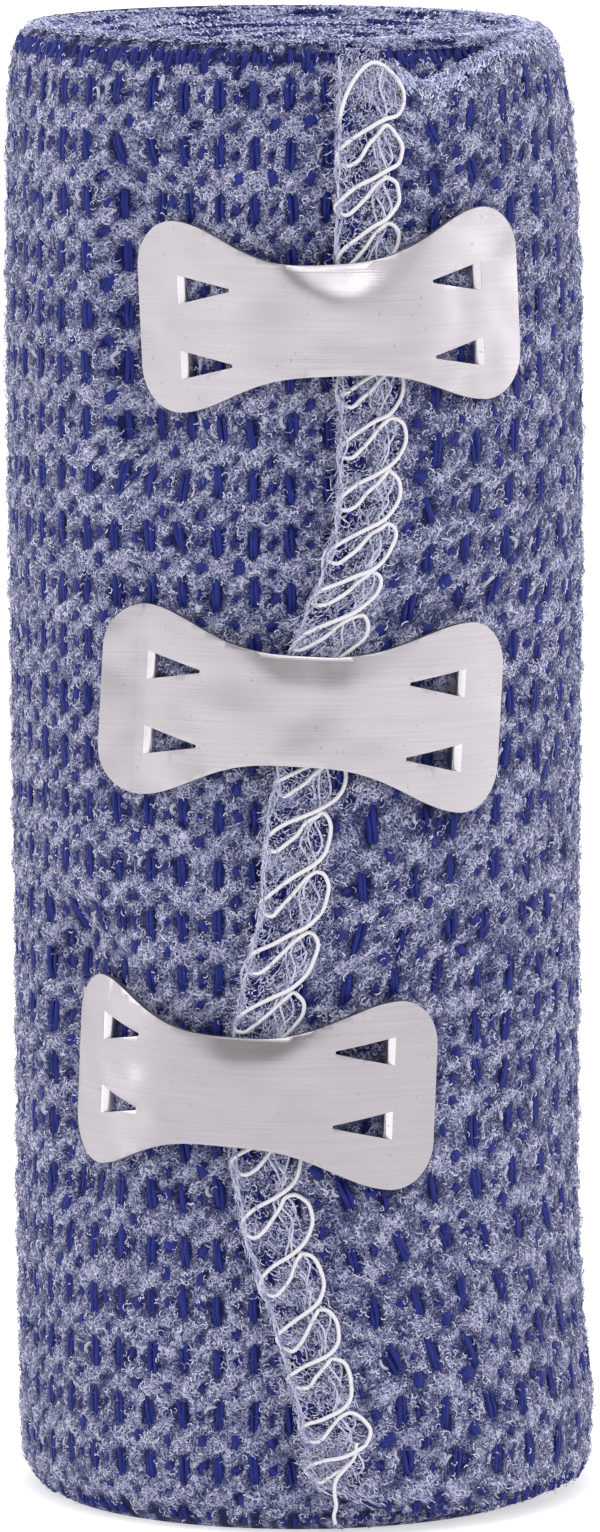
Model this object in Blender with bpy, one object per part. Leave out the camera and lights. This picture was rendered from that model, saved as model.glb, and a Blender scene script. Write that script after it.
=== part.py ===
"""Crepe bandage, wound into a roll that stands on its end, with its loose end held by three metal clips.

+Z is up along the roll's axis, the loose end and the clips face -Y, and the origin is on the axis, where the
roll rests. A bearing is an angle round the axis: 0 looks out along -Y, and it grows towards +X. Sizes are in
millimetres until a mesh is made.
"""

from math import asin, atan2, ceil, cos, pi, radians, sin, sqrt, tan

import bmesh
import bpy
from mathutils import Vector

MM = 0.001

# The cloth: its width is the roll's height.
CLOTH_WIDTH = 100.8
CLOTH_THICKNESS = 1.0
CLEARANCE = 0.3
TURN_STEP = CLOTH_THICKNESS + CLEARANCE

# The wound roll's radius, and how far its sides lie out from it or in from it, from the foot to the upper rim.
RADIUS = 19.4
HEIGHT, LEFT, RIGHT = 0, 1, 2
OUTLINE = (
    # height, left, right
    (0.0, -2.4, -1.2),
    (0.4, -1.6, -0.3),
    (1.0, -1.1, 0.3),
    (1.8, -0.8, 0.6),
    (2.8, -0.5, 0.85),
    (4.2, -0.35, 1.0),
    (7.0, -0.3, 1.0),
    (11.0, -0.2, 0.45),
    (15.5, -0.15, 0.15),
    (20.0, -0.1, 0.0),
    (41.0, 0.05, 0.0),
    (61.0, 0.25, 0.05),
    (82.0, 0.4, 0.0),
    (90.0, 0.35, -0.4),
    (94.3, 0.3, -0.7),
    (98.0, 0.1, -1.3),
    (99.7, -0.3, -2.0),
    (100.3, -0.6, -2.4),
    (CLOTH_WIDTH, -1.4, -3.2),
)

# The upper end sinks a little towards the middle.
UPPER_END = (
    # share of the rim's radius, depth
    (0.93, 0.15),
    (0.84, 0.7),
    (0.5, 1.0),
    (0.12, 1.6),
)

# Where the stitched edge of the loose end runs, and how far right of the axis it lies.
ACROSS = 1
SEAM = (
    # height, across
    (0.0, 3.6),
    (1.0, 2.0),
    (1.8, 0.9),
    (3.0, 0.4),
    (5.3, 0.4),
    (9.0, -0.2),
    (15.0, -1.6),
    (20.3, -3.4),
    (25.7, -4.3),
    (35.3, -4.2),
    (40.7, -3.2),
    (43.4, -2.4),
    (48.8, -2.1),
    (51.5, -1.4),
    (60.0, -0.9),
    (67.0, 1.7),
    (70.3, 2.5),
    (76.0, 2.7),
    (87.0, 2.4),
    (CLOTH_WIDTH, 2.6),
)

# The loose end's selvedges: how far its foot stays above the floor and its upper edge below the rim, by the
# distance round the roll from the stitched edge.
FOOT, DROP = 1, 2
SELVEDGES = (
    # distance, foot, drop
    (0.0, 2.8, 1.0),
    (3.0, 1.8, 2.4),
    (6.0, 1.3, 3.4),
    (9.0, 1.1, 2.4),
    (12.0, 1.0, 1.3),
    (18.0, 1.0, 0.5),
    (60.0, 1.0, 0.5),
)
EASED_OVER = 16.0
EDGE_THICKNESS = (0.55, 0.85)
FAR_BEARING = radians(115.0)

# A clip: one pressed plate, waisted in the middle, with four teeth cut out of it and turned down.
PLATE = 0.4
PLATE_LENGTH = 29.35
END_HEIGHT = 12.86
WAIST_HEIGHT = 7.37
CORNER_LENGTH, CORNER_HEIGHT = 3.0, 3.1
WIDEST_AT = 11.9
WAIST_SHARPNESS = 1.63
TOOTH_ROOT = 11.3
TOOTH_LENGTH = 4.1
TOOTH_WIDTH = 1.95
TOOTH_TIP = 0.2
TOOTH_SPACING = 5.05

# The three clips. The crown is where the plate faces outwards: its height, its distance right of the axis and
# from the axis, and the bearing that it faces. The ends are turned down by the bend, which is spread over an
# arc whose middle lies off the plate's own by the offset. The waist and the teeth are a little off-centre.
# Angles are in degrees.
CLIPS = (
    dict(name="clip_top", height=82.75, across=2.95, distance=21.6, facing=2.5, tilt=2.6, bend=38.4, arc=14.0,
         offset=0.65, flare=0.0, waist=-0.3, punched=-0.7),
    dict(name="clip_middle", height=56.0, across=2.1, distance=21.4, facing=2.6, tilt=-3.0, bend=39.0, arc=22.0,
         offset=1.8, flare=24.0, waist=0.2, punched=-0.2),
    dict(name="clip_bottom", height=30.6, across=-4.2, distance=21.6, facing=-15.9, tilt=-2.3, bend=44.8,
         arc=21.2, offset=0.5, flare=0.0, waist=0.0, punched=0.5),
)
# The cloth gives way evenly this far above and below a clip's middle, and then less until it is flush.
DENT_EVEN, DENT_END = 8.0, 12.5
DENT_BEYOND = 4.0
DENT_MARGIN = 0.05

# How finely the forms are cut.
LOOSE_COLUMNS, BACK_COLUMNS = 24, 48
LONGEST_SECTION = 7.0
WAIST_POINTS, CORNER_POINTS, BEND_CUTS = 16, 6, 12
SHARP_FROM = radians(35.0)


def eased(share):
    """A share from 0 to 1, eased at both ends."""
    share = max(0.0, min(1.0, share))
    return share * share * (3 - 2 * share)


def along_table(table, place, column):
    """The column's value at a place, along straight lines from row to row."""
    for low, high in zip(table, table[1:]):
        if place <= high[0]:
            share = max(0.0, (place - low[0]) / (high[0] - low[0]))
            return low[column] + (high[column] - low[column]) * share
    return table[-1][column]


def sides(height):
    """Radius of the roll on the left and on the right."""
    return RADIUS + along_table(OUTLINE, height, LEFT), RADIUS + along_table(OUTLINE, height, RIGHT)


def seam_bearing(height):
    """Bearing of the loose end's stitched edge."""
    return asin(along_table(SEAM, height, ACROSS) * 2 / sum(sides(height)))


def wound_radius(bearing, turned, height):
    """The cloth's outer face before a clip presses on it, one turn's step lower for each turn from the seam."""
    left, right = sides(height)
    round_form = (left + right) / 2 + (right - left) / 2 * sin(bearing)
    return round_form + TURN_STEP * (0.5 - turned / (2 * pi) - 0.25 * sin(bearing))


def bend_radius(clip):
    """Radius of the arc that a clip is bent round."""
    return clip["arc"] / 2 / radians(clip["bend"])


def plate_line(clip, across):
    """(drop below the crown, slope) of a bent plate's middle line: an arc between two flats."""
    radius, bend_angle = bend_radius(clip), radians(clip["bend"])
    arc_reach = radius * sin(bend_angle)
    if abs(across) <= arc_reach:
        slope = asin(abs(across) / radius)
        return radius * (1 - cos(slope)), slope
    return radius * (1 - cos(bend_angle)) + (abs(across) - arc_reach) * tan(bend_angle), bend_angle


def bent(clip, along, lift=0.0):
    """(across, drop) of a point of the flat plate once it is bent, at a lift above its middle face."""
    radius, bend_angle, reach = bend_radius(clip), radians(clip["bend"]), along - clip["offset"]
    side, reach = (1 if reach >= 0 else -1), abs(reach)
    slope = min(reach / radius, bend_angle)
    crease = TOOTH_ROOT + PLATE + clip["offset"] if side < 0 else PLATE_LENGTH
    straight = max(0.0, min(reach, crease) - radius * bend_angle)
    across = radius * sin(slope) + straight * cos(slope)
    drop = radius * (1 - cos(slope)) + straight * sin(slope)
    if reach > crease:
        slope -= radians(clip["flare"])
        across += (reach - crease) * cos(slope)
        drop += (reach - crease) * sin(slope)
    return side * (across + lift * sin(slope)), drop - lift * cos(slope)


def clip_placing(clip):
    """(crown, direction along the clip, direction out of the roll) of a clip, seen from above."""
    facing = radians(clip["facing"])
    crown = Vector((clip["across"], -sqrt(clip["distance"] ** 2 - clip["across"] ** 2)))
    return crown, Vector((cos(facing), sin(facing))), Vector((sin(facing), -cos(facing)))


def reach_of(clip):
    """Bearings between which a clip lies on the cloth. A flared margin stands clear of it."""
    crown, along, out = clip_placing(clip)
    first = -TOOTH_ROOT - PLATE if clip["flare"] else -PLATE_LENGTH / 2
    bearings = []
    for end in (first, PLATE_LENGTH / 2):
        across, drop = bent(clip, end)
        corner = crown + along * across - out * drop
        bearings.append(atan2(corner.x, -corner.y))
    return bearings


def pressed_in(clip, bearing, height):
    """How far a clip holds the cloth in at a bearing and a height."""
    crown, along, out = clip_placing(clip)
    first, last = reach_of(clip)
    nearest = max(first, min(last, bearing))
    beyond = abs(bearing - nearest) * RADIUS
    if beyond > DENT_BEYOND:
        return 0.0
    ray = Vector((sin(nearest), -cos(nearest)))
    face = ray * wound_radius(nearest, (nearest - seam_bearing(height)) % (2 * pi), height)
    across, depth = (face - crown).dot(along), (crown - face).dot(out)
    turn, up = radians(clip["tilt"]), height - clip["height"]
    across, up = across * cos(turn) + up * sin(turn), up * cos(turn) - across * sin(turn)
    drop, slope = plate_line(clip, across)
    lean = abs(atan2(ray.dot(along), ray.dot(out)))
    below = drop + (PLATE / 2 + CLEARANCE + DENT_MARGIN) / cos(slope) - depth
    faded = eased(1 - beyond / DENT_BEYOND) * eased((DENT_END - abs(up)) / (DENT_END - DENT_EVEN))
    return max(0.0, below * cos(slope) / cos(lean - slope)) * faded


def cloth_radius(bearing, turned, height):
    """The cloth's outer face, held in under the clips."""
    seen_from_front = (bearing + pi) % (2 * pi) - pi
    return wound_radius(bearing, turned, height) - max(pressed_in(clip, seen_from_front, height) for clip in CLIPS)


def section_heights():
    """Heights of the cloth's sections: those of the outline and of the clips' dents, and some between."""
    fixed = [row[HEIGHT] for row in OUTLINE]
    fixed += [clip["height"] + side * edge for clip in CLIPS for side in (-1, 1) for edge in (DENT_EVEN, DENT_END)]
    fixed.sort()
    heights = []
    for low, high in zip(fixed, fixed[1:]):
        steps = ceil((high - low) / LONGEST_SECTION)
        heights += [low + (high - low) * i / steps for i in range(steps)]
    return heights + [CLOTH_WIDTH]


def place(bearing, radius, height):
    """A point at a bearing, a distance from the axis and a height, in metres."""
    return Vector((radius * sin(bearing), -radius * cos(bearing), height)) * MM


def loft(name, rings, material):
    """A closed solid: the first ring filled, then extruded from ring to ring."""
    shape = bmesh.new()
    foot = [shape.verts.new(point) for point in rings[0]]
    cap = shape.faces.new(foot)
    for ring in rings[1:]:
        cap = bmesh.ops.extrude_discrete_faces(shape, faces=[cap])["faces"][0]
        for corner, point in zip(cap.verts, ring):
            corner.co = point
    shape.faces.new(list(reversed(foot)))
    bmesh.ops.recalc_face_normals(shape, faces=shape.faces)
    return add_object(name, finished_mesh(name, shape), material)


def finished_mesh(name, shape):
    """A mesh of what was modelled."""
    mesh = bpy.data.meshes.new(name)
    shape.to_mesh(mesh)
    shape.free()
    return mesh


def add_object(name, mesh, material=None):
    """Puts a mesh in the scene, shaded smooth but for its sharp edges."""
    solid = bpy.data.objects.new(name, mesh)
    bpy.context.scene.collection.objects.link(solid)
    if material:
        mesh.materials.append(material)
    mesh.shade_smooth()
    mesh.set_sharp_from_angle(angle=SHARP_FROM)
    return solid


def finish(name, colour, roughness, metallic):
    """A plain finish of one colour."""
    material = bpy.data.materials.new(name)
    material.use_nodes = True
    shader = material.node_tree.nodes["Principled BSDF"]
    shader.inputs["Base Color"].default_value = (*colour, 1.0)
    shader.inputs["Roughness"].default_value = roughness
    shader.inputs["Metallic"].default_value = metallic
    return material


def roll_ring(height, share=1.0, depth=0.0):
    """A section of the wound roll, one turn's step lower where the loose end lies on it."""
    seam = seam_bearing(height)
    covered, bare = FAR_BEARING - seam, 2 * pi - (FAR_BEARING - seam)
    faces = []
    for i in range(LOOSE_COLUMNS + 1):
        turned = covered * i / LOOSE_COLUMNS
        faces.append((seam + turned, cloth_radius(seam + turned, turned, height) - TURN_STEP))
    for i in range(BACK_COLUMNS):
        turned = covered + bare * i / BACK_COLUMNS
        faces.append((seam + turned, cloth_radius(seam + turned, turned, height)))
    return [place(bearing, radius * share, height - depth) for bearing, radius in faces]


def wound_roll(material):
    """The wound cloth as one solid, up to where its last turn comes loose."""
    rings = [roll_ring(height) for height in section_heights()]
    rings += [roll_ring(CLOTH_WIDTH, share, depth) for share, depth in UPPER_END]
    return loft("bandage_roll", rings, material)


def eased_height(height, distance):
    """Where a point of the loose end lies once its selvedges are drawn in."""
    foot, drop = along_table(SELVEDGES, distance, FOOT), along_table(SELVEDGES, distance, DROP)
    lowest, highest = SELVEDGES[-1][FOOT], SELVEDGES[-1][DROP]
    lifted = (foot - lowest) * eased(1 - height / EASED_OVER)
    lowered = (drop - highest) * eased(1 - (CLOTH_WIDTH - height) / EASED_OVER)
    return height + lifted - lowered


def loose_ring(height):
    """A section of the loose end: its outer face from the stitched edge on, then its inner face back."""
    seam = seam_bearing(height)
    covered = FAR_BEARING - CLEARANCE / RADIUS - seam
    outer, inner = [], []
    for i in range(LOOSE_COLUMNS + 1):
        turned = covered * i / LOOSE_COLUMNS
        level = eased_height(height, turned * RADIUS)
        face = cloth_radius(seam + turned, turned, level)
        thickness = CLOTH_THICKNESS * (EDGE_THICKNESS[i] if i < len(EDGE_THICKNESS) else 1.0)
        outer.append(place(seam + turned, face - CLOTH_THICKNESS + thickness, level))
        inner.append(place(seam + turned, face - CLOTH_THICKNESS, level))
    return outer + list(reversed(inner))


def loose_end(material):
    """The last stretch of the bandage: a sheet on the turn below it, that ends in the stitched edge."""
    foot, upper_edge = SELVEDGES[-1][FOOT], CLOTH_WIDTH - SELVEDGES[-1][DROP]
    between = [height for height in section_heights() if foot + 0.5 < height < upper_edge - 0.5]
    return loft("loose_end", [loose_ring(height) for height in [foot] + between + [upper_edge]], material)


def plate_outline(waist):
    """The plate's outline laid flat, anticlockwise from its right end, with its waist shifted upwards."""
    full = PLATE_LENGTH / 2 - CORNER_LENGTH
    edges = []
    for side in (1, -1):
        corner = []
        for i in range(CORNER_POINTS):
            turn = pi / 2 * i / CORNER_POINTS
            corner.append((full + CORNER_LENGTH * cos(turn), END_HEIGHT / 2 - CORNER_HEIGHT * (1 - sin(turn))))
        edge = list(corner)
        for i in range(WAIST_POINTS + 1):
            along = full * (1 - 2 * i / WAIST_POINTS)
            swell = ((1 - cos(pi * along / WIDEST_AT)) / 2) ** WAIST_SHARPNESS
            narrow = WAIST_HEIGHT / 2 + side * waist
            edge.append((along, narrow + (END_HEIGHT / 2 - narrow) * swell))
        edge += [(-along, up) for along, up in reversed(corner)]
        edges.append([(along, side * up) for along, up in edge])
    return edges[0] + list(reversed(edges[1]))


def tooth_places(punched):
    """(side, height) of each of the four teeth. Side is -1 on the left and 1 on the right."""
    return [(side, punched + level * TOOTH_SPACING / 2) for side in (-1, 1) for level in (-1, 1)]


def flat_plate(waist, punched):
    """The plate laid flat, with the four holes that its teeth were cut from."""
    curve = bpy.data.curves.new("plate", "CURVE")
    curve.dimensions = "2D"
    curve.fill_mode = "BOTH"
    curve.extrude = PLATE / 2
    loops = [plate_outline(waist)]
    for side, middle in tooth_places(punched):
        root, tip = side * TOOTH_ROOT, side * (TOOTH_ROOT - TOOTH_LENGTH)
        hole = [(root, -TOOTH_WIDTH / 2), (root, TOOTH_WIDTH / 2), (tip, TOOTH_TIP / 2), (tip, -TOOTH_TIP / 2)]
        loops.append([(along, middle + up) for along, up in hole])
    for loop in loops:
        spline = curve.splines.new("POLY")
        spline.points.add(len(loop) - 1)
        spline.use_cyclic_u = True
        for point, (along, up) in zip(spline.points, loop):
            point.co = (along, up, 0.0, 1.0)
    laid_flat = bpy.data.objects.new("plate", curve)
    bpy.context.scene.collection.objects.link(laid_flat)
    mesh = evaluated_mesh(laid_flat)
    bpy.data.objects.remove(laid_flat)
    return mesh


def evaluated_mesh(solid):
    """A new mesh of an object as its modifiers leave it, with doubled points merged."""
    bpy.context.view_layer.update()
    graph = bpy.context.evaluated_depsgraph_get()
    shape = bmesh.new()
    shape.from_mesh(bpy.data.meshes.new_from_object(solid.evaluated_get(graph)))
    bmesh.ops.remove_doubles(shape, verts=shape.verts, dist=1e-5)
    return finished_mesh(solid.name, shape)


def teeth(name, punched, margin, top):
    """The four teeth as they stand below the flat plate, each made larger all round by a margin."""
    shape = bmesh.new()
    root, tip = TOOTH_WIDTH / 2 * 0.94 + margin, TOOTH_TIP / 2 + margin
    foot, depth = -PLATE / 2, -TOOTH_LENGTH - margin
    profile = [(-root, top), (-root, foot), (-tip, depth), (tip, depth), (root, foot), (root, top)]
    for side, middle in tooth_places(punched):
        near = side * (TOOTH_ROOT - margin)
        blade = shape.faces.new([shape.verts.new((near, middle + up, level)) for up, level in profile])
        grown = bmesh.ops.extrude_face_region(shape, geom=[blade])["geom"]
        moved = [corner for corner in grown if isinstance(corner, bmesh.types.BMVert)]
        bmesh.ops.translate(shape, verts=moved, vec=(side * (PLATE + 2 * margin), 0, 0))
    bmesh.ops.recalc_face_normals(shape, faces=shape.faces)
    return add_object(name, finished_mesh(name, shape))


def bend(mesh, clip):
    """Bends a flat mesh to the clip's form and sets it on the roll, in metres."""
    crown, along_roll, out = clip_placing(clip)
    turn = radians(clip["tilt"])
    for corner in mesh.vertices:
        along, up, lift = corner.co
        across, drop = bent(clip, along, lift)
        across, up = across * cos(turn) - up * sin(turn), up * cos(turn) + across * sin(turn)
        level = crown + along_roll * across - out * drop
        corner.co = Vector((level.x, level.y, clip["height"] + up)) * MM


def cut_for_bending(mesh, clip):
    """Adds edges across the plate where it bends."""
    shape = bmesh.new()
    shape.from_mesh(mesh)
    stations = [clip["offset"] + clip["arc"] * (i / BEND_CUTS - 0.5) for i in range(BEND_CUTS + 1)]
    if clip["flare"]:
        stations.append(-TOOTH_ROOT - PLATE - 0.05)
    for along in stations:
        everything = list(shape.verts) + list(shape.edges) + list(shape.faces)
        bmesh.ops.bisect_plane(shape, geom=everything, dist=1e-5, plane_co=(along, 0, 0), plane_no=(1, 0, 0))
    shape.to_mesh(mesh)
    shape.free()


def spring_clip(clip, material):
    """One clip: the punched plate with its teeth turned down, bent round the roll."""
    plate = add_object("plate", flat_plate(clip["waist"], clip["punched"]))
    turned_down = teeth("teeth", clip["punched"], margin=0.0, top=0.0)
    join = plate.modifiers.new("teeth", "BOOLEAN")
    join.operation = "UNION"
    join.solver = "EXACT"
    join.object = turned_down
    mesh = evaluated_mesh(plate)
    bpy.data.objects.remove(plate)
    bpy.data.objects.remove(turned_down)
    cut_for_bending(mesh, clip)
    bend(mesh, clip)
    return add_object(clip["name"], mesh, material)


def tooth_slots(clip):
    """A cutter with room for a clip's four teeth."""
    slots = teeth(clip["name"] + "_slots", clip["punched"], margin=CLEARANCE, top=PLATE)
    bend(slots.data, clip)
    slots.hide_render = True
    slots.display_type = "WIRE"
    return slots


def pierce(cloth, slots):
    """Cuts the slots out of the cloth."""
    cut = cloth.modifiers.new(slots.name, "BOOLEAN")
    cut.operation = "DIFFERENCE"
    cut.solver = "EXACT"
    cut.object = slots


def build():
    for old in list(bpy.data.objects):
        bpy.data.objects.remove(old)
    crepe = finish("blue_flecked_crepe", (0.23, 0.25, 0.46), 0.95, 0.0)
    aluminium = finish("satin_aluminium", (0.80, 0.79, 0.79), 0.34, 1.0)
    cloths = (wound_roll(crepe), loose_end(crepe))
    for clip in CLIPS:
        spring_clip(clip, aluminium)
        slots = tooth_slots(clip)
        for cloth in cloths:
            pierce(cloth, slots)


build()
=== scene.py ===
# Crepe bandage, wound into a roll that stands on its end, with three spring clips on its stitched loose end.
# Places are in millimetres until a mesh is made: z is up the roll, a bearing is an angle round it from the
# front towards the right, u is a distance round the cloth from its stitched edge and v a height on it.
import math

import bmesh
import bpy
import numpy as np
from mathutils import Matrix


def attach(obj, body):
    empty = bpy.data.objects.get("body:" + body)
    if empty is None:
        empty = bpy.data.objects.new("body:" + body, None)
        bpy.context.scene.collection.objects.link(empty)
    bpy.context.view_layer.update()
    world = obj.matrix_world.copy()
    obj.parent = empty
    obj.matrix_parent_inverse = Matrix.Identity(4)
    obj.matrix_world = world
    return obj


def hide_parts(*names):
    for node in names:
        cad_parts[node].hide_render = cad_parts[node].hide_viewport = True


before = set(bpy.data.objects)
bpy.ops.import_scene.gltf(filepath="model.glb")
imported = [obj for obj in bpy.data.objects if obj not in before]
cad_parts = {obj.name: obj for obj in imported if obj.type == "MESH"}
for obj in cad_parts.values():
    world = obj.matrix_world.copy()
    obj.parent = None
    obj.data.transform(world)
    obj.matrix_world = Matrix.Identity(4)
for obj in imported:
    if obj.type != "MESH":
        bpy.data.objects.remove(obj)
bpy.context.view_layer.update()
mm = 0.001
fullTurn = 2 * math.pi
dice = np.random.default_rng(41)

roll = dict(
    radius=19.4, width=100.8, turnStep=1.3, thickness=1.0, clearance=0.3, farBearing=math.radians(115.0),
    outline=[  # height, left, right: how far the sides lie out from the radius
        (0.0, -2.4, -1.2), (0.4, -1.6, -0.3), (1.0, -1.1, 0.3), (1.8, -0.8, 0.6), (2.8, -0.5, 0.85),
        (4.2, -0.35, 1.0), (7.0, -0.3, 1.0), (11.0, -0.2, 0.45), (15.5, -0.15, 0.15), (20.0, -0.1, 0.0),
        (41.0, 0.05, 0.0), (61.0, 0.25, 0.05), (82.0, 0.4, 0.0), (90.0, 0.35, -0.4), (94.3, 0.3, -0.7),
        (98.0, 0.1, -1.3), (99.7, -0.3, -2.0), (100.3, -0.6, -2.4), (100.8, -1.4, -3.2)],
    seam=[  # height, how far right of the axis the stitched edge lies
        (0.0, 3.6), (1.0, 2.0), (1.8, 0.9), (3.0, 0.4), (5.3, 0.4), (9.0, -0.2), (15.0, -1.6), (20.3, -3.4),
        (25.7, -4.3), (35.3, -4.2), (40.7, -3.2), (43.4, -2.4), (48.8, -2.1), (51.5, -1.4), (60.0, -0.9),
        (67.0, 1.7), (70.3, 2.5), (76.0, 2.7), (87.0, 2.4), (100.8, 2.6)],
    selvedges=[  # u, how far the foot stays up and the upper edge down
        (0.0, 2.8, 1.0), (3.0, 1.8, 1.1), (4.5, 1.5, 2.3), (6.0, 1.3, 3.4), (9.0, 1.1, 2.4), (12.0, 1.0, 1.3),
        (18.0, 1.0, 0.5), (60.0, 1.0, 0.5)],
    rowSkew=[  # height, rise of the rows per mm on the loose end
        (0.0, 0.0), (8.0, 0.03), (20.0, 0.07), (38.0, 0.05), (50.0, 0.0), (62.0, 0.0), (75.0, 0.06),
        (90.0, 0.1), (100.8, 0.0)],
    rowShift=[  # height, how far the loose end's rows lie above the wound turn's
        (0.0, 0.0), (12.0, 0.4), (20.0, 0.2), (30.0, 0.0), (40.0, -0.4), (46.0, -0.6), (52.0, -0.3),
        (60.0, -0.5), (66.0, -1.0), (74.0, -1.15), (80.0, -0.6), (88.0, -0.6), (94.0, -0.75), (98.5, -0.1),
        (100.8, 0.0)],
    easedOver=16.0, backRise=0.3, backRises=(80, 20))
turnLength = fullTurn * roll["radius"]
farU = roll["farBearing"] * roll["radius"]  # where the loose end merges with the turn below it

plate = dict(
    thickness=0.4, length=29.35, endHeight=12.86, waistHeight=7.37, cornerLength=3.0, cornerHeight=3.1,
    widestAt=11.9, sharpness=1.63, toothRoot=11.3, toothLength=4.1, toothWidth=1.95, toothTip=0.2,
    toothSpacing=5.05, lip=0.18, arcRounding=3.0, creaseRounding=0.9, tableReach=18.0, tableStep=0.05)
clips = [  # rim: first, last, depth, degrees, softness; hollow: across, height, width, depth
    dict(name="clip_top", height=82.75, across=2.95, distance=21.6, facing=2.5, tilt=2.6, bend=38.4, arc=14.0,
         offset=0.65, flare=0.0, waist=-0.3, punched=-0.7, rim=(-5.0, 7.3, 2.3, 15.5, 0.08), hollow=None),
    dict(name="clip_middle", height=56.0, across=2.1, distance=21.4, facing=2.6, tilt=-3.0, bend=39.0,
         arc=22.0, offset=1.8, flare=24.0, waist=0.2, punched=-0.2, rim=(-6.2, 8.0, 2.2, 8.5, 0.12),
         hollow=(0.6, 0.4, 2.3, 0.18)),
    dict(name="clip_bottom", height=30.6, across=-4.2, distance=21.6, facing=-15.9, tilt=-2.3, bend=44.8,
         arc=21.2, offset=0.5, flare=0.0, waist=0.0, punched=0.5, rim=(-5.5, 8.0, 1.8, 10.0, 0.12),
         hollow=None)]
heldIn = dict(even=8.0, end=12.5, beyond=4.0, margin=0.05, tall=16, wide=1.5)  # the cloth under a clip


def eased(share):
    share = np.clip(share, 0.0, 1.0)
    return share * share * (3 - 2 * share)


def rises(place, start, length):  # 0 up to a start, then up to 1 over a length
    return eased((place - start) / length)


def falls(place, start, length):  # 1 up to a start, then down to 0 over a length
    return eased(1 - (place - start) / length)


def smoothed(values, count, **edges):  # a row of values, each a weighted mean of an odd count round it
    weights = np.hanning(count)
    return np.convolve(np.pad(values, count // 2, **edges), weights / weights.sum(), mode="valid")


def smoothTable(rows, column, reach):  # the column at every tenth of a millimetre, its corners rounded
    places = np.arange(rows[0][0], rows[-1][0] + 0.05, 0.1)
    values = np.interp(places, [row[0] for row in rows], [row[column] for row in rows])
    return places, smoothed(values, 2 * int(reach * 10) + 3, mode="reflect", reflect_type="odd")


tables = dict((name, smoothTable(roll[rows], column, reach)) for name, rows, column, reach in (
    ("left", "outline", 1, 0.5), ("right", "outline", 2, 0.5), ("seam", "seam", 1, 1.6),
    ("foot", "selvedges", 1, 1.5), ("drop", "selvedges", 2, 1.0), ("rowSkew", "rowSkew", 1, 5.0),
    ("rowShift", "rowShift", 1, 2.0)))


def along(name, place):
    return np.interp(place, *tables[name])


def sides(height):
    return roll["radius"] + along("left", height), roll["radius"] + along("right", height)


def seamBearing(height):
    left, right = sides(height)
    return np.arcsin(along("seam", height) * 2 / (left + right))


def woundRadius(bearing, turned, height):
    left, right = sides(height)
    middle = (left + right) / 2 + (right - left) / 2 * np.sin(bearing)
    return middle + roll["turnStep"] * (0.5 - turned / fullTurn - 0.25 * np.sin(bearing))


def bendTable(clip):  # (place on the flat plate, slope, across, drop), its bends rounded
    step = plate["tableStep"]
    places = np.arange(-plate["tableReach"], plate["tableReach"] + step / 5, step)
    bend = math.radians(clip["bend"])
    radius = clip["arc"] / 2 / bend
    crease = -plate["toothRoot"] - plate["thickness"]
    arc = np.clip((places - clip["offset"]) / radius, -bend, bend)
    flare = np.where(places < crease, math.radians(clip["flare"]), 0.0)
    slope = 0
    for part, reach in ((arc, plate["arcRounding"]), (flare, plate["creaseRounding"])):
        slope = slope + smoothed(part, 2 * int(reach / step) + 1, mode="edge")
    across, drop = np.cumsum(np.cos(slope)) * step, np.cumsum(np.sin(slope)) * step
    across -= np.interp(clip["offset"], places, across)
    return places, slope, across, drop - np.interp(clip["offset"], places, drop)


bends = dict((clip["name"], bendTable(clip)) for clip in clips)


def bentPlate(clip, reach, lift=0.0):  # (across, drop) of a place on the flat plate once it is bent
    places, slope, across, drop = bends[clip["name"]]
    slope = np.interp(reach, places, slope)
    across, drop = np.interp(reach, places, across), np.interp(reach, places, drop)
    return across + lift * np.sin(slope), drop - lift * np.cos(slope)


def rolledRim(clip, reach, up):  # how far the waist's upper rim is rolled back and a hollow pressed in
    first, last, depth, angle, soft = clip["rim"]
    share = min(max((reach - first) / (last - first), 0.0), 1.0)
    arch = math.sin(math.pi * share)
    crease = plate["waistHeight"] / 2 + clip["waist"] + 1.5 * (2 * share - 1) ** 2 - depth * arch
    past = up - crease
    rolled = 0.5 * (past + math.sqrt(past * past + soft)) * math.tan(math.radians(angle)) * arch ** 0.5
    if clip["hollow"]:
        across, height, wide, deep = clip["hollow"]
        rolled += deep * math.exp(-((reach - across) ** 2 + (up - height) ** 2 * 1.6) / wide ** 2)
    return rolled


def clipFrame(clip):  # crown, direction along the clip and direction out of the roll, seen from above
    facing = math.radians(clip["facing"])
    crown = (clip["across"], -math.sqrt(clip["distance"] ** 2 - clip["across"] ** 2))
    return crown, (math.cos(facing), math.sin(facing)), (math.sin(facing), -math.cos(facing))


def clipReach(clip):  # the bearings of its ends
    crown, way, out = clipFrame(clip)
    first = -plate["toothRoot"] - plate["thickness"] if clip["flare"] else -plate["length"] / 2
    bearings = []
    for end in (first, plate["length"] / 2):
        across, drop = bentPlate(clip, end)
        x, y = (crown[i] + way[i] * across - out[i] * drop for i in (0, 1))
        bearings.append(math.atan2(x, -y))
    return bearings


def onClip(clip, x, y, height):  # (across, up, depth below the crown) of places, in the clip's own directions
    crown, way, out = clipFrame(clip)
    across = (x - crown[0]) * way[0] + (y - crown[1]) * way[1]
    depth = (crown[0] - x) * out[0] + (crown[1] - y) * out[1]
    turn, up = math.radians(clip["tilt"]), height - clip["height"]
    return across * math.cos(turn) + up * math.sin(turn), up * math.cos(turn) - across * math.sin(turn), depth


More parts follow.
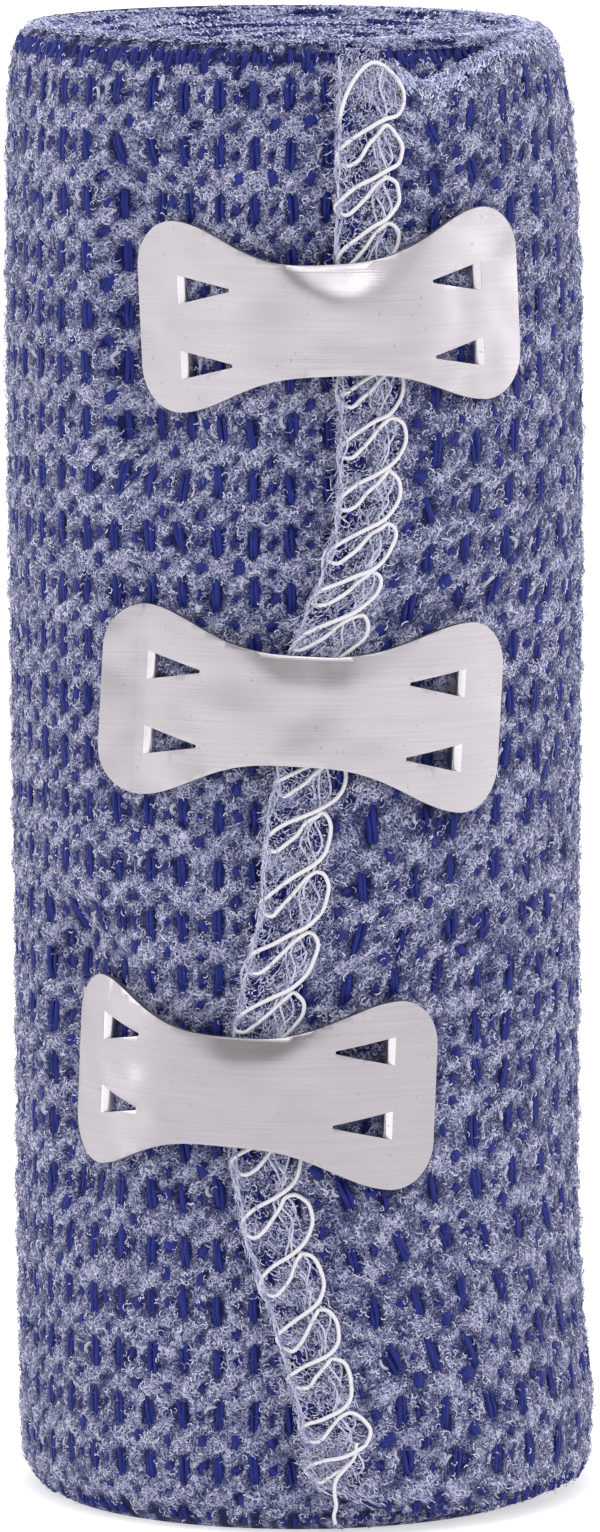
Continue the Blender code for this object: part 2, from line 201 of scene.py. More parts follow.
def plateLine(clip, across):  # (drop below the crown, slope) of the bent plate's middle line
    bend = math.radians(clip["bend"])
    radius = clip["arc"] / 2 / bend
    reach = radius * math.sin(bend)
    slope = np.where(np.abs(across) <= reach, np.arcsin(np.clip(np.abs(across) / radius, 0, 1)), bend)
    past = np.maximum(0.0, np.abs(across) - reach)
    return radius * (1 - np.cos(slope)) + past * math.tan(bend), slope


def pressedIn(clip, bearing, height):  # how far a clip holds the cloth in
    crown, way, out = clipFrame(clip)
    first, last = clipReach(clip)
    nearby = np.clip(bearing, first, last)
    beyond = np.abs(bearing - nearby) * roll["radius"]
    rayX, rayY = np.sin(nearby), -np.cos(nearby)
    face = woundRadius(nearby, (nearby - seamBearing(height)) % fullTurn, height)
    across, up, depth = onClip(clip, rayX * face, rayY * face, height)
    drop, slope = plateLine(clip, across)
    lean = np.abs(np.arctan2(rayX * way[0] + rayY * way[1], rayX * out[0] + rayY * out[1]))
    below = drop + (plate["thickness"] / 2 + roll["clearance"] + heldIn["margin"]) / np.cos(slope) - depth
    level = eased((heldIn["end"] - np.abs(up)) / (heldIn["end"] - heldIn["even"]))
    faded = falls(beyond, 0, heldIn["beyond"]) * level
    return np.maximum(0.0, below * np.cos(slope) / np.cos(lean - slope)) * faded


def clothRadius(bearing, turned, height):
    front = (bearing + np.pi) % fullTurn - np.pi
    held = np.zeros(np.broadcast(bearing, height).shape)
    for clip in clips:
        near = (np.abs(height - clip["height"]) < heldIn["tall"]) & (np.abs(front) < heldIn["wide"])
        if near.any():
            pressed = pressedIn(clip, front[near], np.broadcast_to(height, held.shape)[near])
            held[near] = np.maximum(held[near], pressed)
    return woundRadius(bearing, turned, height) - held


def placed(bearing, radius, height):
    return np.stack([radius * np.sin(bearing), -radius * np.cos(bearing), height + 0 * radius], axis=-1)


def easedHeight(u, v):  # the loose end's selvedges are drawn in near its stitched edge
    foot, drop = along("foot", u), along("drop", u)
    lowest, highest = roll["selvedges"][-1][1:]
    lifted = (foot - lowest) * falls(v, 0, roll["easedOver"])
    lowered = (drop - highest) * falls(roll["width"] - v, 0, roll["easedOver"])
    return v + lifted - lowered


wander = dice.uniform(0, fullTurn, (6, 2))


def unevenness(u, v, shortest=7.0):  # a gentle wandering, mostly between -1 and 1: six crossing waves
    total = 0
    for i, (first, second) in enumerate(wander):
        length = shortest * (1 + 0.55 * i)
        turn = 2.4 * i
        total = total + np.sin((u * math.cos(turn) + v * math.sin(turn)) * fullTurn / length + first) * \
            np.cos((v * math.cos(turn) - u * math.sin(turn)) * fullTurn / length / 1.3 + second)
    return total / 3


weave = dict(
    topRow=100.75, rowPitch=3.71, rows=28, firstColumns=[1.0, 3.6], columnPitch=3.3, tightened=0.72,
    puffed=0.5, scatter=(0.2, 0.28), skewed=(8, 26), waveLength=11.0, calm=0.12, looser=0.3,
    # where each change starts, and the length that it takes
    tightens=(32, 26), leanFades=(32, 45), looseFades=(34, 12), overTop=(98.5, 3.0), overFoot=(1.6, 2.0),
    # the band of blue stitches under the upper selvedge
    markedBelow=1.25, markedHalf=0.62, markedFrom=27,
    lattices=dict(  # columns aside, rows aside, rows apart
        stroke=(0.0, 0.0, 1.0), spot=(0.5, 0.0, 0.5), puff=(0.0, 0.5, 1.0), dot=(0.5, 0.25, 0.5),
        left=(0.3, 0.0, 1.0), right=(0.7, 0.0, 1.0)),
    puffs=dict(  # height, half width, half depth
        puff=(0.6, 0.98, 0.82), dot=(0.5, 0.74, 0.52), left=(0.42, 0.34, 0.62), right=(0.42, 0.34, 0.62)))


def spread(u, v):  # (bearing, turned, height) of a place on the cloth
    bearing = u / roll["radius"] + seamBearing(v) * falls(u, *weave["leanFades"])
    loose = falls(u, *weave["looseFades"])
    first, last = weave["skewed"]
    rise = (along("rowSkew", v) * (np.minimum(u, last) - first) + along("rowShift", v)) * loose
    edge = np.minimum(v, roll["width"] - v)
    wave = unevenness(u, v, weave["waveLength"]) * (weave["calm"] + weave["looser"] * loose)
    wave = wave * rises(edge, 0, 8)
    behind = roll["backRise"] * (1 - np.cos(bearing)) / 2 * rises(v, *roll["backRises"])
    return bearing, bearing - seamBearing(v), easedHeight(u, v) + rise + wave + behind


def weaveColumns():
    columns = list(weave["firstColumns"])
    while columns[-1] < turnLength + 45:
        tighter = float(rises(columns[-1], *weave["tightens"]))
        columns.append(columns[-1] + (weave["columnPitch"] - weave["tightened"] * tighter))
    return np.array(columns)


columnPlaces = weaveColumns()
columnPitch = np.gradient(columnPlaces)
cells = (len(columnPlaces) + 2, 2 * weave["rows"] + 6)
shifts = dict((name, dice.normal(0, 1, (4, *cells)).clip(-2, 2)) for name in weave["lattices"])


def looseness(u):  # how uneven the weave is: more so on the loose end
    return 0.5 + 0.75 * falls(u, 30, 20)


def offLattice(chance, u):  # how far a place of the weave lies off its lattice
    return [chance[i] * weave["scatter"][i] * looseness(u) for i in (0, 1)]


def nearest(name, u, v):  # (du, dv, random numbers) from the nearest place of a lattice of the weave
    columnOffset, rowOffset, rowShare = weave["lattices"][name]
    column = np.interp(u, columnPlaces, np.arange(len(columnPlaces))) - columnOffset
    row = ((weave["topRow"] - v) / weave["rowPitch"] - rowOffset) / rowShare
    c, r = np.round(column).astype(int), np.round(row).astype(int)
    chance = shifts[name][:, np.clip(c, 0, cells[0] - 1), np.clip(r + 1, 0, cells[1] - 1)]
    asideU, asideV = offLattice(chance, u)
    du = (column - c) * np.interp(u, columnPlaces, columnPitch) - asideU
    return du, -(row - r) * weave["rowPitch"] * rowShare - asideV, chance


def relief(u, v):  # (height of the crepe's puffs, share of blue) at a place
    high = 0
    for name, (tall, wide, deep) in weave["puffs"].items():
        du, dv, chance = nearest(name, u, v)
        puff = (tall + 0.08 * chance[2]) * np.exp(-((du / wide) ** 2 + (dv / deep) ** 2) ** 1.4)
        high = np.maximum(high, puff) + 0.3 * np.minimum(high, puff)
    du, dv, chance = nearest("stroke", u, v)
    stroke = np.exp(-(du / 0.44) ** 2 - (dv / 1.2) ** 4)
    du, dv, chance = nearest("spot", u, v)
    spot = np.exp(-(du / 0.45) ** 2 - (dv / 0.5) ** 2) * (0.8 + 0.2 * chance[3])
    offBand = (v - roll["width"] + weave["markedBelow"]) / weave["markedHalf"]
    marked = 0.65 * np.exp(-offBand ** 4) * (u > weave["markedFrom"])
    blue = np.maximum(np.maximum(stroke, spot), marked)
    return high - 0.38 - 0.2 * blue + 0.08 * unevenness(u, v), np.clip(blue, 0, 1)


def underClip(x, y, height):  # 1 where a clip's plate lies over a place, and fading round it
    covered = 0
    waist, swell = plate["waistHeight"] / 2, (plate["endHeight"] - plate["waistHeight"]) / 2
    for clip in clips:
        across, up, depth = onClip(clip, x, y, height)
        half = waist + swell * rises(np.abs(across), 2, 7)
        aside = np.maximum(np.abs(across) - 12.5, np.abs(up) - half)
        covered = np.maximum(covered, falls(aside, 0, 1.2) * (y < 0))
    return covered


def clothPoint(u, v, lift):  # the place of a point of the cloth, at a lift above its face
    bearing, turned, height = spread(u, v)
    radius = clothRadius(bearing, turned, height)
    flat = underClip(radius * np.sin(bearing), -radius * np.cos(bearing), height)
    lift = lift + (np.minimum(lift, 0.1) - lift) * flat
    # near its ends the cloth turns over, and what lies on it turns with it
    top, foot = weave["overTop"], weave["overFoot"]
    over = np.arctan2(np.maximum(0.0, height - top[0]), top[1]) \
        - np.arctan2(np.maximum(0.0, foot[0] - height), foot[1])
    return placed(bearing, radius + lift * np.cos(over), height + lift * np.sin(over))


def outward(points):
    flat = points * np.array([1.0, 1.0, 0.0])
    return flat / np.linalg.norm(flat, axis=-1, keepdims=True)


def addMesh(name, points, quads, materials, triangles=(), slots=None, uv=None, shades=None):
    mesh = bpy.data.meshes.new(name)
    points = np.array(points, float)
    points[:, 2] = np.maximum(points[:, 2], 0.0)  # the roll stands on the floor
    corners = np.concatenate([np.asarray(faces, np.int32).ravel() for faces in (quads, triangles)])
    sizes = np.repeat([4, 3], [len(quads), len(triangles)]).astype(np.int32)
    mesh.vertices.add(len(points))
    mesh.vertices.foreach_set("co", (points * mm).astype(np.float32).ravel())
    mesh.loops.add(len(corners))
    mesh.loops.foreach_set("vertex_index", corners)
    mesh.polygons.add(len(sizes))
    mesh.polygons.foreach_set("loop_start", (np.cumsum(sizes) - sizes).astype(np.int32))
    mesh.polygons.foreach_set("loop_total", sizes)
    mesh.polygons.foreach_set("use_smooth", np.ones(len(sizes), bool))
    for material in materials:
        mesh.materials.append(material)
    if slots is not None:
        mesh.polygons.foreach_set("material_index", np.asarray(slots, np.int32))
    if uv is not None:
        layer = mesh.uv_layers.new(name="cloth")
        layer.data.foreach_set("uv", np.asarray(uv, np.float32)[corners].ravel())
    for label, values in (shades or {}).items():
        shade = mesh.attributes.new(label, "FLOAT", "POINT")
        shade.data.foreach_set("value", np.asarray(values, np.float32).ravel())
    mesh.update()
    mesh.validate()
    piece = bpy.data.objects.new(name, mesh)
    bpy.context.scene.collection.objects.link(piece)
    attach(piece, "root")
    return piece


def gridQuads(columns, rows, closed=False):  # a sheet of quads whose points run column by column
    c, r = np.meshgrid(np.arange(columns if closed else columns - 1), np.arange(rows - 1), indexing="ij")
    nextColumn = (c + 1) % columns
    return np.stack([c * rows + r, nextColumn * rows + r, nextColumn * rows + r + 1, c * rows + r + 1],
                    -1).reshape(-1, 4)


def sideways(paths, out):  # (direction along, direction aside) at each step of many paths
    way = np.gradient(paths, axis=1)
    way /= np.maximum(np.linalg.norm(way, axis=-1, keepdims=True), 1e-9)
    side = np.cross(way, out)
    return way, side / np.maximum(np.linalg.norm(side, axis=-1, keepdims=True), 1e-9)


def sweep(paths, out, across, high, profile, closed=False):  # carries a profile along many paths
    count, steps = paths.shape[:2]
    way, side = sideways(paths, out)
    up = np.cross(side, way)
    profile = np.asarray(profile, float)
    points = paths[:, :, None] + side[:, :, None] * (across[..., None] * profile[:, 0])[..., None] + \
        up[:, :, None] * (high[..., None] * profile[:, 1])[..., None]
    corners = len(profile)
    firsts = np.arange(count) * steps * corners
    s, k = np.meshgrid(np.arange(steps - 1), np.arange(corners if closed else corners - 1), indexing="ij")
    nextCorner = (k + 1) % corners
    one = np.stack([s * corners + k, s * corners + nextCorner, (s + 1) * corners + nextCorner,
                    (s + 1) * corners + k], -1).reshape(-1, 4)
    quads = [(one[None] + firsts[:, None, None]).reshape(-1, 4)]
    if closed:  # a closed profile has six corners, so two quads close each end
        for first, way in ((firsts, 1), (firsts + (steps - 1) * corners, -1)):
            for loop in ((0, 5, 4, 3), (0, 3, 2, 1)):
                quads.append(np.stack([first + i for i in loop[::way]], -1))
    return points.reshape(-1, 3), np.concatenate(quads)


roundProfile = [(math.cos(-fullTurn * i / 6), math.sin(-fullTurn * i / 6)) for i in range(6)]
archProfile = [(-1.0, -0.3), (-0.55, 0.75), (0.55, 0.75), (1.0, -0.3)]
print("shape of the wound cloth ready")


def toLinear(hexColour):
    parts = [int(hexColour[i:i + 2], 16) / 255 for i in (1, 3, 5)]
    return tuple(p / 12.92 if p <= 0.04045 else ((p + 0.055) / 1.055) ** 2.4 for p in parts) + (1.0,)


def setInputs(node, inputs):  # each a number, a colour or another node's output
    for name, value in inputs.items():
        if isinstance(value, bpy.types.NodeSocket):
            node.id_data.links.new(value, node.inputs[name])
        else:
            node.inputs[name].default_value = toLinear(value) if isinstance(value, str) else value


def addNode(tree, kind, inputs, **settings):  # adds a node and gives its outputs
    node = tree.nodes.new("ShaderNode" + kind)
    for name, value in settings.items():
        setattr(node, name, value)
    setInputs(node, inputs)
    return node.outputs


def newMaterial(name, inputs):
    material = bpy.data.materials.new(name)
    material.use_nodes = True
    shader = material.node_tree.nodes["Principled BSDF"]
    setInputs(shader, inputs)
    return material, material.node_tree, shader


# the ground between the hairs is darker than the hairs: partly the cloth's own blue, partly painted shade
# between fibres
groundLook = dict(light="#c0c1d8", pale="#979abf", shade="#363a6e", dark="#191e50", blue="#1c2674",
                  deep="#0e1340", curl=0.45, hair=0.07)


def brushedCrepe():
    # Crepe woven from high-twist cotton with blue polyester floats, its face brushed: a tangle of fine curled
    # nap, matt, pale on the puffs and dark between; that darkening between the puffs is painted shade. Its
    # hairs are drawn 0.07 mm wide, coarser than real ones.
    material, tree, shader = newMaterial("brushedCottonCrepe", {
        "Roughness": 0.95, "Sheen Weight": 0.1, "Sheen Roughness": 0.5, "Specular IOR Level": 0.1})
    place = addNode(tree, "TexCoord", {})["Object"]
    broad = addNode(tree, "TexNoise", {"Vector": place, "Scale": 1 / (1.6 * mm), "Detail": 3.0})["Fac"]
    high = addNode(tree, "Attribute", {}, attribute_name="high")["Fac"]
    # hairs are thick on the puffs and thin in the hollows
    thick = addNode(tree, "MapRange", {"Value": high, "From Min": -0.45, "From Max": 0.15,
                                       "To Min": 0.35 * groundLook["hair"], "To Max": groundLook["hair"]})
    # lit darkens the ground and its hairs in the hollows between the puffs: painted shade
    lit = addNode(tree, "MapRange", {"Value": high, "From Min": -0.45, "From Max": 0.1, "To Min": 0.05,
                                     "To Max": 1.0})["Result"]
    tangle = None
    for i in range(3):  # each layer draws the level lines of a noise: thin curls
        moved = addNode(tree, "Mapping", {"Vector": place, "Location": (0.013 * i, 0.027 * i, 0.041 * i),
                                          "Rotation": (0.7 * i, 0.4 * i, 0.9 * i)})
        scale = (1.0 + 0.3 * i) / (groundLook["curl"] * mm)
        noise = addNode(tree, "TexNoise", {"Vector": moved["Vector"], "Scale": scale, "Detail": 1.0,
                                           "Roughness": 0.5, "Distortion": 0.8})
        off = addNode(tree, "Math", {0: noise["Fac"], 1: 0.5}, operation="SUBTRACT")
        level = addNode(tree, "Math", {0: off[0]}, operation="ABSOLUTE")
        line = addNode(tree, "MapRange", {"Value": level[0], "From Min": 0.0, "From Max": thick["Result"],
                                          "To Min": 1.0 - 0.22 * i, "To Max": 0.0})["Result"]
        if tangle is None:
            tangle = line
        else:
            tangle = addNode(tree, "Math", {0: tangle, 1: line}, operation="MAXIMUM")[0]
    between, hairs, floatBlue = (
        addNode(tree, "Mix", {0: share, 6: groundLook[first], 7: groundLook[last]}, data_type="RGBA")[2]
        for share, first, last in ((lit, "dark", "shade"), (lit, "pale", "light"), (tangle, "deep", "blue")))
    pale = addNode(tree, "MapRange", {"Value": tangle, "From Min": 0.05, "From Max": 0.75})["Result"]
    yarn = addNode(tree, "Mix", {0: pale, 6: between, 7: hairs}, data_type="RGBA")[2]
    share = addNode(tree, "Attribute", {}, attribute_name="blue")["Fac"]
    ragged = addNode(tree, "Math", {0: broad, 1: 0.6, 2: share}, operation="MULTIPLY_ADD")[0]
    edge = addNode(tree, "MapRange", {"Value": ragged, "From Min": 0.55, "From Max": 0.85})["Result"]
    colour = addNode(tree, "Mix", {0: edge, 6: yarn, 7: floatBlue}, data_type="RGBA")[2]
    bump = addNode(tree, "Bump", {"Height": tangle, "Strength": 0.8, "Distance": 0.1 * mm})["Normal"]
    setInputs(shader, {"Base Color": colour, "Normal": bump})
    return material


def spunFibre(name, colour, roughness=0.75, sheen=0.45):
    # Single cotton fibres and threads, too thin to carry a pattern: each shade is its own finish.
    return newMaterial(name, {"Base Color": colour, "Roughness": roughness, "Sheen Weight": sheen,
                              "Specular IOR Level": 0.3})[0]


def filamentPolyester():
    # Blue polyester floats of many straight filaments: fine lines along the strand and a soft silky gloss.
    material, tree, shader = newMaterial("bluePolyesterFilament", {"Roughness": 0.55,
                                                                   "Specular IOR Level": 0.2})
    place = addNode(tree, "UVMap", {}, uv_map="cloth")["UV"]
    lines = addNode(tree, "Mapping", {"Vector": place, "Scale": (14.0, 0.7, 1.0)})["Vector"]
    strand = addNode(tree, "TexNoise", {"Vector": lines, "Scale": 1.0, "Detail": 2.0})["Fac"]
    tone = addNode(tree, "MapRange", {"Value": strand, "From Min": 0.35, "From Max": 0.65})["Result"]
    colour = addNode(tree, "Mix", {0: tone, 6: "#0e164e", 7: "#222e86"}, data_type="RGBA")[2]
    bump = addNode(tree, "Bump", {"Height": strand, "Strength": 0.5, "Distance": 0.05 * mm})["Normal"]
    setInputs(shader, {"Base Color": colour, "Normal": bump})
    return material


def brushedAluminium(name="brushedAluminiumStrip", dull="#aca6ab", bright="#c6c1c5", smooth=0.24, rough=0.34):
    # Half-hard aluminium strip, brushed along its length and stamped: pale, slightly warm, with hairline
    # strokes, a satin gloss, shallow dents and a few specks. The strokes are drawn 0.08 mm wide, coarser than
    # real ones.
    material, tree, shader = newMaterial(name, {"Metallic": 1.0, "Anisotropic": 0.35})
    place = addNode(tree, "TexCoord", {})["Object"]
    strokes = addNode(tree, "Mapping", {"Vector": place, "Scale": (0.12, 0.12, 12.0)})["Vector"]
    hair = addNode(tree, "TexNoise", {"Vector": strokes, "Scale": 1 / mm, "Detail": 3.0,
                                      "Roughness": 0.6})["Fac"]
    cloudy = addNode(tree, "TexNoise", {"Vector": place, "Scale": 1 / (5 * mm), "Detail": 1.0})["Fac"]
    specks = addNode(tree, "TexNoise", {"Vector": place, "Scale": 1 / (0.28 * mm), "Detail": 0.0})["Fac"]
    tone = addNode(tree, "Mix", {0: hair, 6: dull, 7: bright}, data_type="RGBA")[2]
    pitted = addNode(tree, "MapRange", {"Value": specks, "From Min": 0.8, "From Max": 0.84,
                                        "To Max": 0.35})["Result"]
    colour = addNode(tree, "Mix", {0: pitted, 6: tone, 7: "#77727a"}, data_type="RGBA")[2]
    gloss = addNode(tree, "MapRange", {"Value": cloudy, "From Min": 0.3, "From Max": 0.7, "To Min": smooth,
                                       "To Max": rough})["Result"]
    brushed = addNode(tree, "Bump", {"Height": hair, "Strength": 0.25, "Distance": 0.02 * mm})["Normal"]
    dented = addNode(tree, "Bump", {"Height": cloudy, "Normal": brushed, "Strength": 1.0,
                                    "Distance": 0.3 * mm})["Normal"]
    setInputs(shader, {"Base Color": colour, "Roughness": gloss, "Normal": dented})
    return material


crepe = brushedCrepe()
# the nap's shades are picked partly by how high a fibre lies, so they serve in part as painted light and
# shade
fibreShades = [spunFibre(shade + "CottonNap", colour) for shade, colour in (
    ("palest", "#c6c7de"), ("pale", "#a9abca"), ("grey", "#7b7eac"), ("dim", "#3a3e72"), ("blue", "#1e245f"))]
endShades = [spunFibre(shade + "SelvedgeNap", colour, sheen=0.1) for shade, colour in (
    ("palest", "#d6d9f4"), ("pale", "#b9beea"), ("grey", "#7d85cc"), ("blue", "#1f2a88"))]
creamCotton = spunFibre("mercerisedCottonYarn", "#a8a9bd", 0.6, 0.1)
stitchThread = spunFibre("whiteSpunPolyester", "#dad8dd", 0.6, 0.1)
blueFilament = filamentPolyester()
aluminium = brushedAluminium()
# the lowest clip's strip is painted a little darker than the others: painted shade
shadedAluminium = brushedAluminium("shadedAluminiumStrip", "#a09a9f", "#b8b3b7")
# where the punch has bent the teeth over, the strip is burnished smoother and painted brighter: a painted
# highlight on the folds
burnishedAndHighlit = brushedAluminium("burnishedHighlitAluminiumFold", "#d0cbcf", "#e2dee1", 0.2, 0.28)
print("finishes ready")

ground = dict(
    step=0.62,
    lowered=0.9, lowers=(14, 8), faded=0.8, topCap=98.4, capShare=0.9, capShade=-0.3,  # the wound turn
    pastFar=0.4, rounded=0.9, face=0.35, sunk=0.55, back=0.12, meets=(22, 15))  # the loose end


def woundTop(u):  # the wound cloth's upper edge, lower where the loose end covers it
    return roll["width"] - ground["lowered"] * rises(u - turnLength, *ground["lowers"])


def wound():  # the wound cloth's outer turn, from where the loose end leaves it right round to there again
    columns = int(turnLength / ground["step"])
    rows = int(roll["width"] / ground["step"]) + 1
    u = np.linspace(farU, farU + turnLength, columns)[:, None]
    v = np.linspace(0.0, 1.0, rows)[None, :] * woundTop(u)
    u = np.broadcast_to(u, v.shape)
    high, blue = relief(u, v)
    fade = rises(np.minimum(v, woundTop(u) - v), 0, ground["faded"])
    cloth = clothPoint(u, v, high * weave["puffed"] * fade)
    cloth[:, 0, 2] = 0.0
    points, quads, triangles = [cloth.reshape(-1, 3)], [gridQuads(columns, rows, closed=True)], []
    # the ends, closed under the turns' edges
    for edge, level, way in ((0, 0.0, 1), (rows - 1, ground["topCap"], -1)):
        ring = np.arange(columns) * rows + edge
        inner = sum(len(part) for part in points) + np.arange(columns)
        share = np.array([ground["capShare"], ground["capShare"], 0.0])
        points += [points[0][ring] * share + np.array([0, 0, level]), np.array([[0.0, 0.0, level]])]
        after = np.roll(np.arange(columns), -1)
        quads.append(np.stack([ring, inner, inner[after], ring[after]], -1)[:, ::way])
        triangles.append(np.stack([inner, np.full(columns, inner[-1] + 1), inner[after]], -1)[:, ::way])
    caps = np.full(2 * columns + 2, ground["capShade"])
    piece = addMesh("wound_cloth", np.concatenate(points), np.concatenate(quads), [crepe],
                    np.concatenate(triangles),
                    shades=dict(blue=np.append(blue, caps), high=np.append(high, caps)))
    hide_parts("bandage_roll")
    return piece


def looseRange(u):  # the lowest and highest v of the loose end
    meets = rises(u, *ground["meets"])
    return 1.0 - 0.8 * meets, roll["width"] - 0.5 + 0.4 * meets


def looseEnd():  # one thin sheet on the turn below it, from its stitched edge round to the right
    last = farU + ground["pastFar"]
    columns, rows = int(last / ground["step"]), int(roll["width"] / ground["step"])
    u = np.linspace(0.0, last, columns)[:, None]
    low, top = looseRange(u)
    v = low + (top - low) * np.linspace(0, 1, rows)[None, :]
    u = np.broadcast_to(u, v.shape)
    high, blue = relief(u, v)
    rounded = rises(np.minimum(np.minimum(u, v - low), top - v), 0, ground["rounded"])
    lift = (high * weave["puffed"] + ground["face"]) * rounded - ground["sunk"] + 0.2 * rounded
    outer = clothPoint(u, v, lift - 0.4 * falls(last - u, 0, ground["faded"]))
    inner = clothPoint(u, v, -roll["thickness"] + ground["back"] * rounded)
    count = columns * rows
    quads = gridQuads(columns, rows)
    border = np.concatenate([np.arange(columns) * rows, (columns - 1) * rows + np.arange(1, rows),
                             np.arange(columns - 2, -1, -1) * rows + rows - 1, np.arange(rows - 2, 0, -1)])
    after = np.roll(border, -1)
    rim = np.stack([border, border + count, after + count, after], -1)
    piece = addMesh("loose_end_cloth", np.concatenate([outer.reshape(-1, 3), inner.reshape(-1, 3)]),
                    np.concatenate([quads, quads[:, ::-1] + count, rim]), [crepe],
                    shades=dict(blue=np.tile(blue.ravel(), 2), high=np.tile(high.ravel(), 2)))
    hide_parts("loose_end")
    return piece


ends = dict(
    turns=19, pitch=0.93, columns=120, groove=0.75, core=0.07, inset=0.35, uneven=0.16, marked=2.6,
    sink=[  # share of the rim, depth
        (0.0, 1.6), (0.12, 1.6), (0.5, 1.0), (0.84, 0.7), (0.93, 0.3), (1.0, 0.12)],
    profile=[  # across, in turns, and how far the edge falls away
        (0.0, -1.0), (0.1, -0.35), (0.27, -0.05), (0.5, 0.0), (0.73, -0.05), (0.9, -0.35), (1.0, -1.0)])
turnHeights = np.random.default_rng(61).normal(0, ends["uneven"], (ends["turns"] + 2, 6))


def onEnd(turned, across, lift, upper=True):
    # a place on the wound turns' edges: turned in whole turns from the outermost inwards, across in turns
    level = roll["width"] - ends["inset"] if upper else ends["inset"]
    bearing = seamBearing(level) - turned * fullTurn
    around = turned % 1.0
    rim = clothRadius(bearing, ((-around) % 1.0) * fullTurn, np.full(np.shape(turned), level))
    share = np.maximum(1 - (turned + across) * ends["pitch"] / roll["radius"], ends["core"])
    depth = np.interp(share, *zip(*ends["sink"]))
    whole = np.clip(turned.astype(int), 0, ends["turns"])
    rough = turnHeights[whole, 0] + (turnHeights[whole + 1, 0] - turnHeights[whole, 0]) * around
    rough = rough + 0.1 * np.sin(turned * fullTurn * 3 + turnHeights[whole, 1] * 20)
    rough = rough * rises(1 - share, 0, 0.08)
    if upper:
        height = roll["width"] - depth + rough + lift + roll["backRise"] * (1 - np.cos(bearing)) / 2
    else:
        height = np.maximum(0.0, 0.25 + 0.6 * np.abs(rough) - lift)
    return placed(bearing, rim * share, height)


def turnEdges(name, upper, columns, fewer=1):
    # the edges of all the turns, seen end on: one strip wound from the rim to the core
    profile = np.array(ends["profile"][::fewer])
    steps = int(ends["turns"] * columns)
    turned = np.linspace(0, ends["turns"], steps)[:, None] + np.zeros((1, len(profile)))
    across = profile[None, :, 0] + 0 * turned
    drop = profile[None, :, 1] * ends["groove"] + 0 * turned
    bumps = np.random.default_rng(7).normal(0, 0.025, turned.shape) * (drop > -0.4)
    points = onEnd(turned, across, drop + bumps, upper)
    reach = turned * fullTurn * roll["radius"] * (1 - turned * ends["pitch"] / roll["radius"])
    marks = np.sin(reach / ends["marked"] * 2) + np.random.default_rng(8).normal(0, 0.3, turned.shape)
    blue = np.clip(marks + 0.2, 0, 1) * (drop > -0.5)
    quads = gridQuads(steps, len(profile))
    # high follows how far the edge falls away, so the grooves between the turns are painted darker: painted
    # shade
    return addMesh(name, points.reshape(-1, 3), quads if upper else quads[:, ::-1], [crepe],
                   shades=dict(blue=blue.ravel(), high=(drop + 0.32).ravel()))


woundCloth = wound()
looseCloth = looseEnd()
upperTurns = turnEdges("upper_turn_edges", True, ends["columns"])
lowerTurns = turnEdges("lower_turn_edges", False, ends["columns"] // 2, 2)
print("cloth ready")


def latticePlaces(name):  # every place of a lattice of the weave: (u, v, random numbers)
    columnOffset, rowOffset, rowShare = weave["lattices"][name]
    columns, rows = np.arange(len(columnPlaces) - 1), np.arange(-1, int(weave["rows"] / rowShare))
    c, r = (part.ravel() for part in np.meshgrid(columns, rows, indexing="ij"))
    chance = shifts[name][:, c, r + 1]
    u = np.interp(c + columnOffset, np.arange(len(columnPlaces)), columnPlaces)
    v = weave["topRow"] - (r * rowShare + rowOffset) * weave["rowPitch"]
    asideU, asideV = offLattice(chance, u)
    return u + asideU, v + asideV, chance


showing = dict(top=96.8, foot=1.3, fromEdge=0.3)  # the covered turn shows past the loose end's selvedges


def shown(u, v, margin=0.0):  # which places lie on cloth that shows
    low, top = looseRange(u)
    bearing, turned, height = spread(u, v)
    covered = turned > fullTurn + 0.01
    bare = (height > showing["top"]) | (height < showing["foot"])
    onLoose = (v > low + margin) & (v < top - margin) & (u > showing["fromEdge"])
    onTurn = (v > showing["fromEdge"] + margin) & (v < woundTop(u) - margin) & (~covered | bare)
    return np.where(u < farU, onLoose, onTurn)


def kept(keep, *rows):  # the same places out of each row
    return [row[..., keep] for row in rows]


def bands(u, v, lean, length, bow, shares, lifts):
    # short curved paths lying on the cloth: lean in radians from upright, bow sideways at the middle
    share = np.asarray(shares)[None, :]
    s = share * (length / 2)[:, None]
    b = bow[:, None] * (1 - share ** 2)
    pathU = u[:, None] + s * np.sin(lean)[:, None] + b * np.cos(lean)[:, None]
    pathV = v[:, None] + s * np.cos(lean)[:, None] - b * np.sin(lean)[:, None]
    return pathU, np.clip(pathV, 0.15, roll["width"] - 0.05), np.asarray(lifts)[None, :] + 0 * pathU


def plumb(u, v, pathV):  # the shift that keeps a path from (u, v) upright where the cloth leans at its foot
    follows = falls(u, *weave["leanFades"]) * rises(12 - v, 0, 5)
    return (along("seam", v)[:, None] - along("seam", pathV)) * follows[:, None]


def strands(name, paths, across, material, flatness=1.0, seed=None):  # arched strands on the cloth
    points, quads = sweep(paths, outward(paths), across, across * flatness, archProfile)
    if seed is None:
        return addMesh(name, points, quads, [material])
    runs = (np.linspace(0, 4, paths.shape[1]), np.linspace(0, 1, len(archProfile)))
    one = np.stack(np.meshgrid(*runs, indexing="ij"), -1)[..., ::-1]
    offset = np.random.default_rng(seed).uniform(0, 50, (len(paths), 1, 1, 2))
    return addMesh(name, points, quads, [material], uv=(one[None] + offset).reshape(-1, 2))


floatLook = dict(
    length=2.3, apart=0.155, uneven=0.14, leans=(20, 40), leansAbove=(30, 12), margin=1.3,
    shares=(-1, -0.86, 0, 0.86, 1), lifts=(-0.46, -0.2, -0.13, -0.2, -0.46),
    halfWidths=np.array([0.125, 0.17, 0.18, 0.17, 0.125]), flatness=0.9)


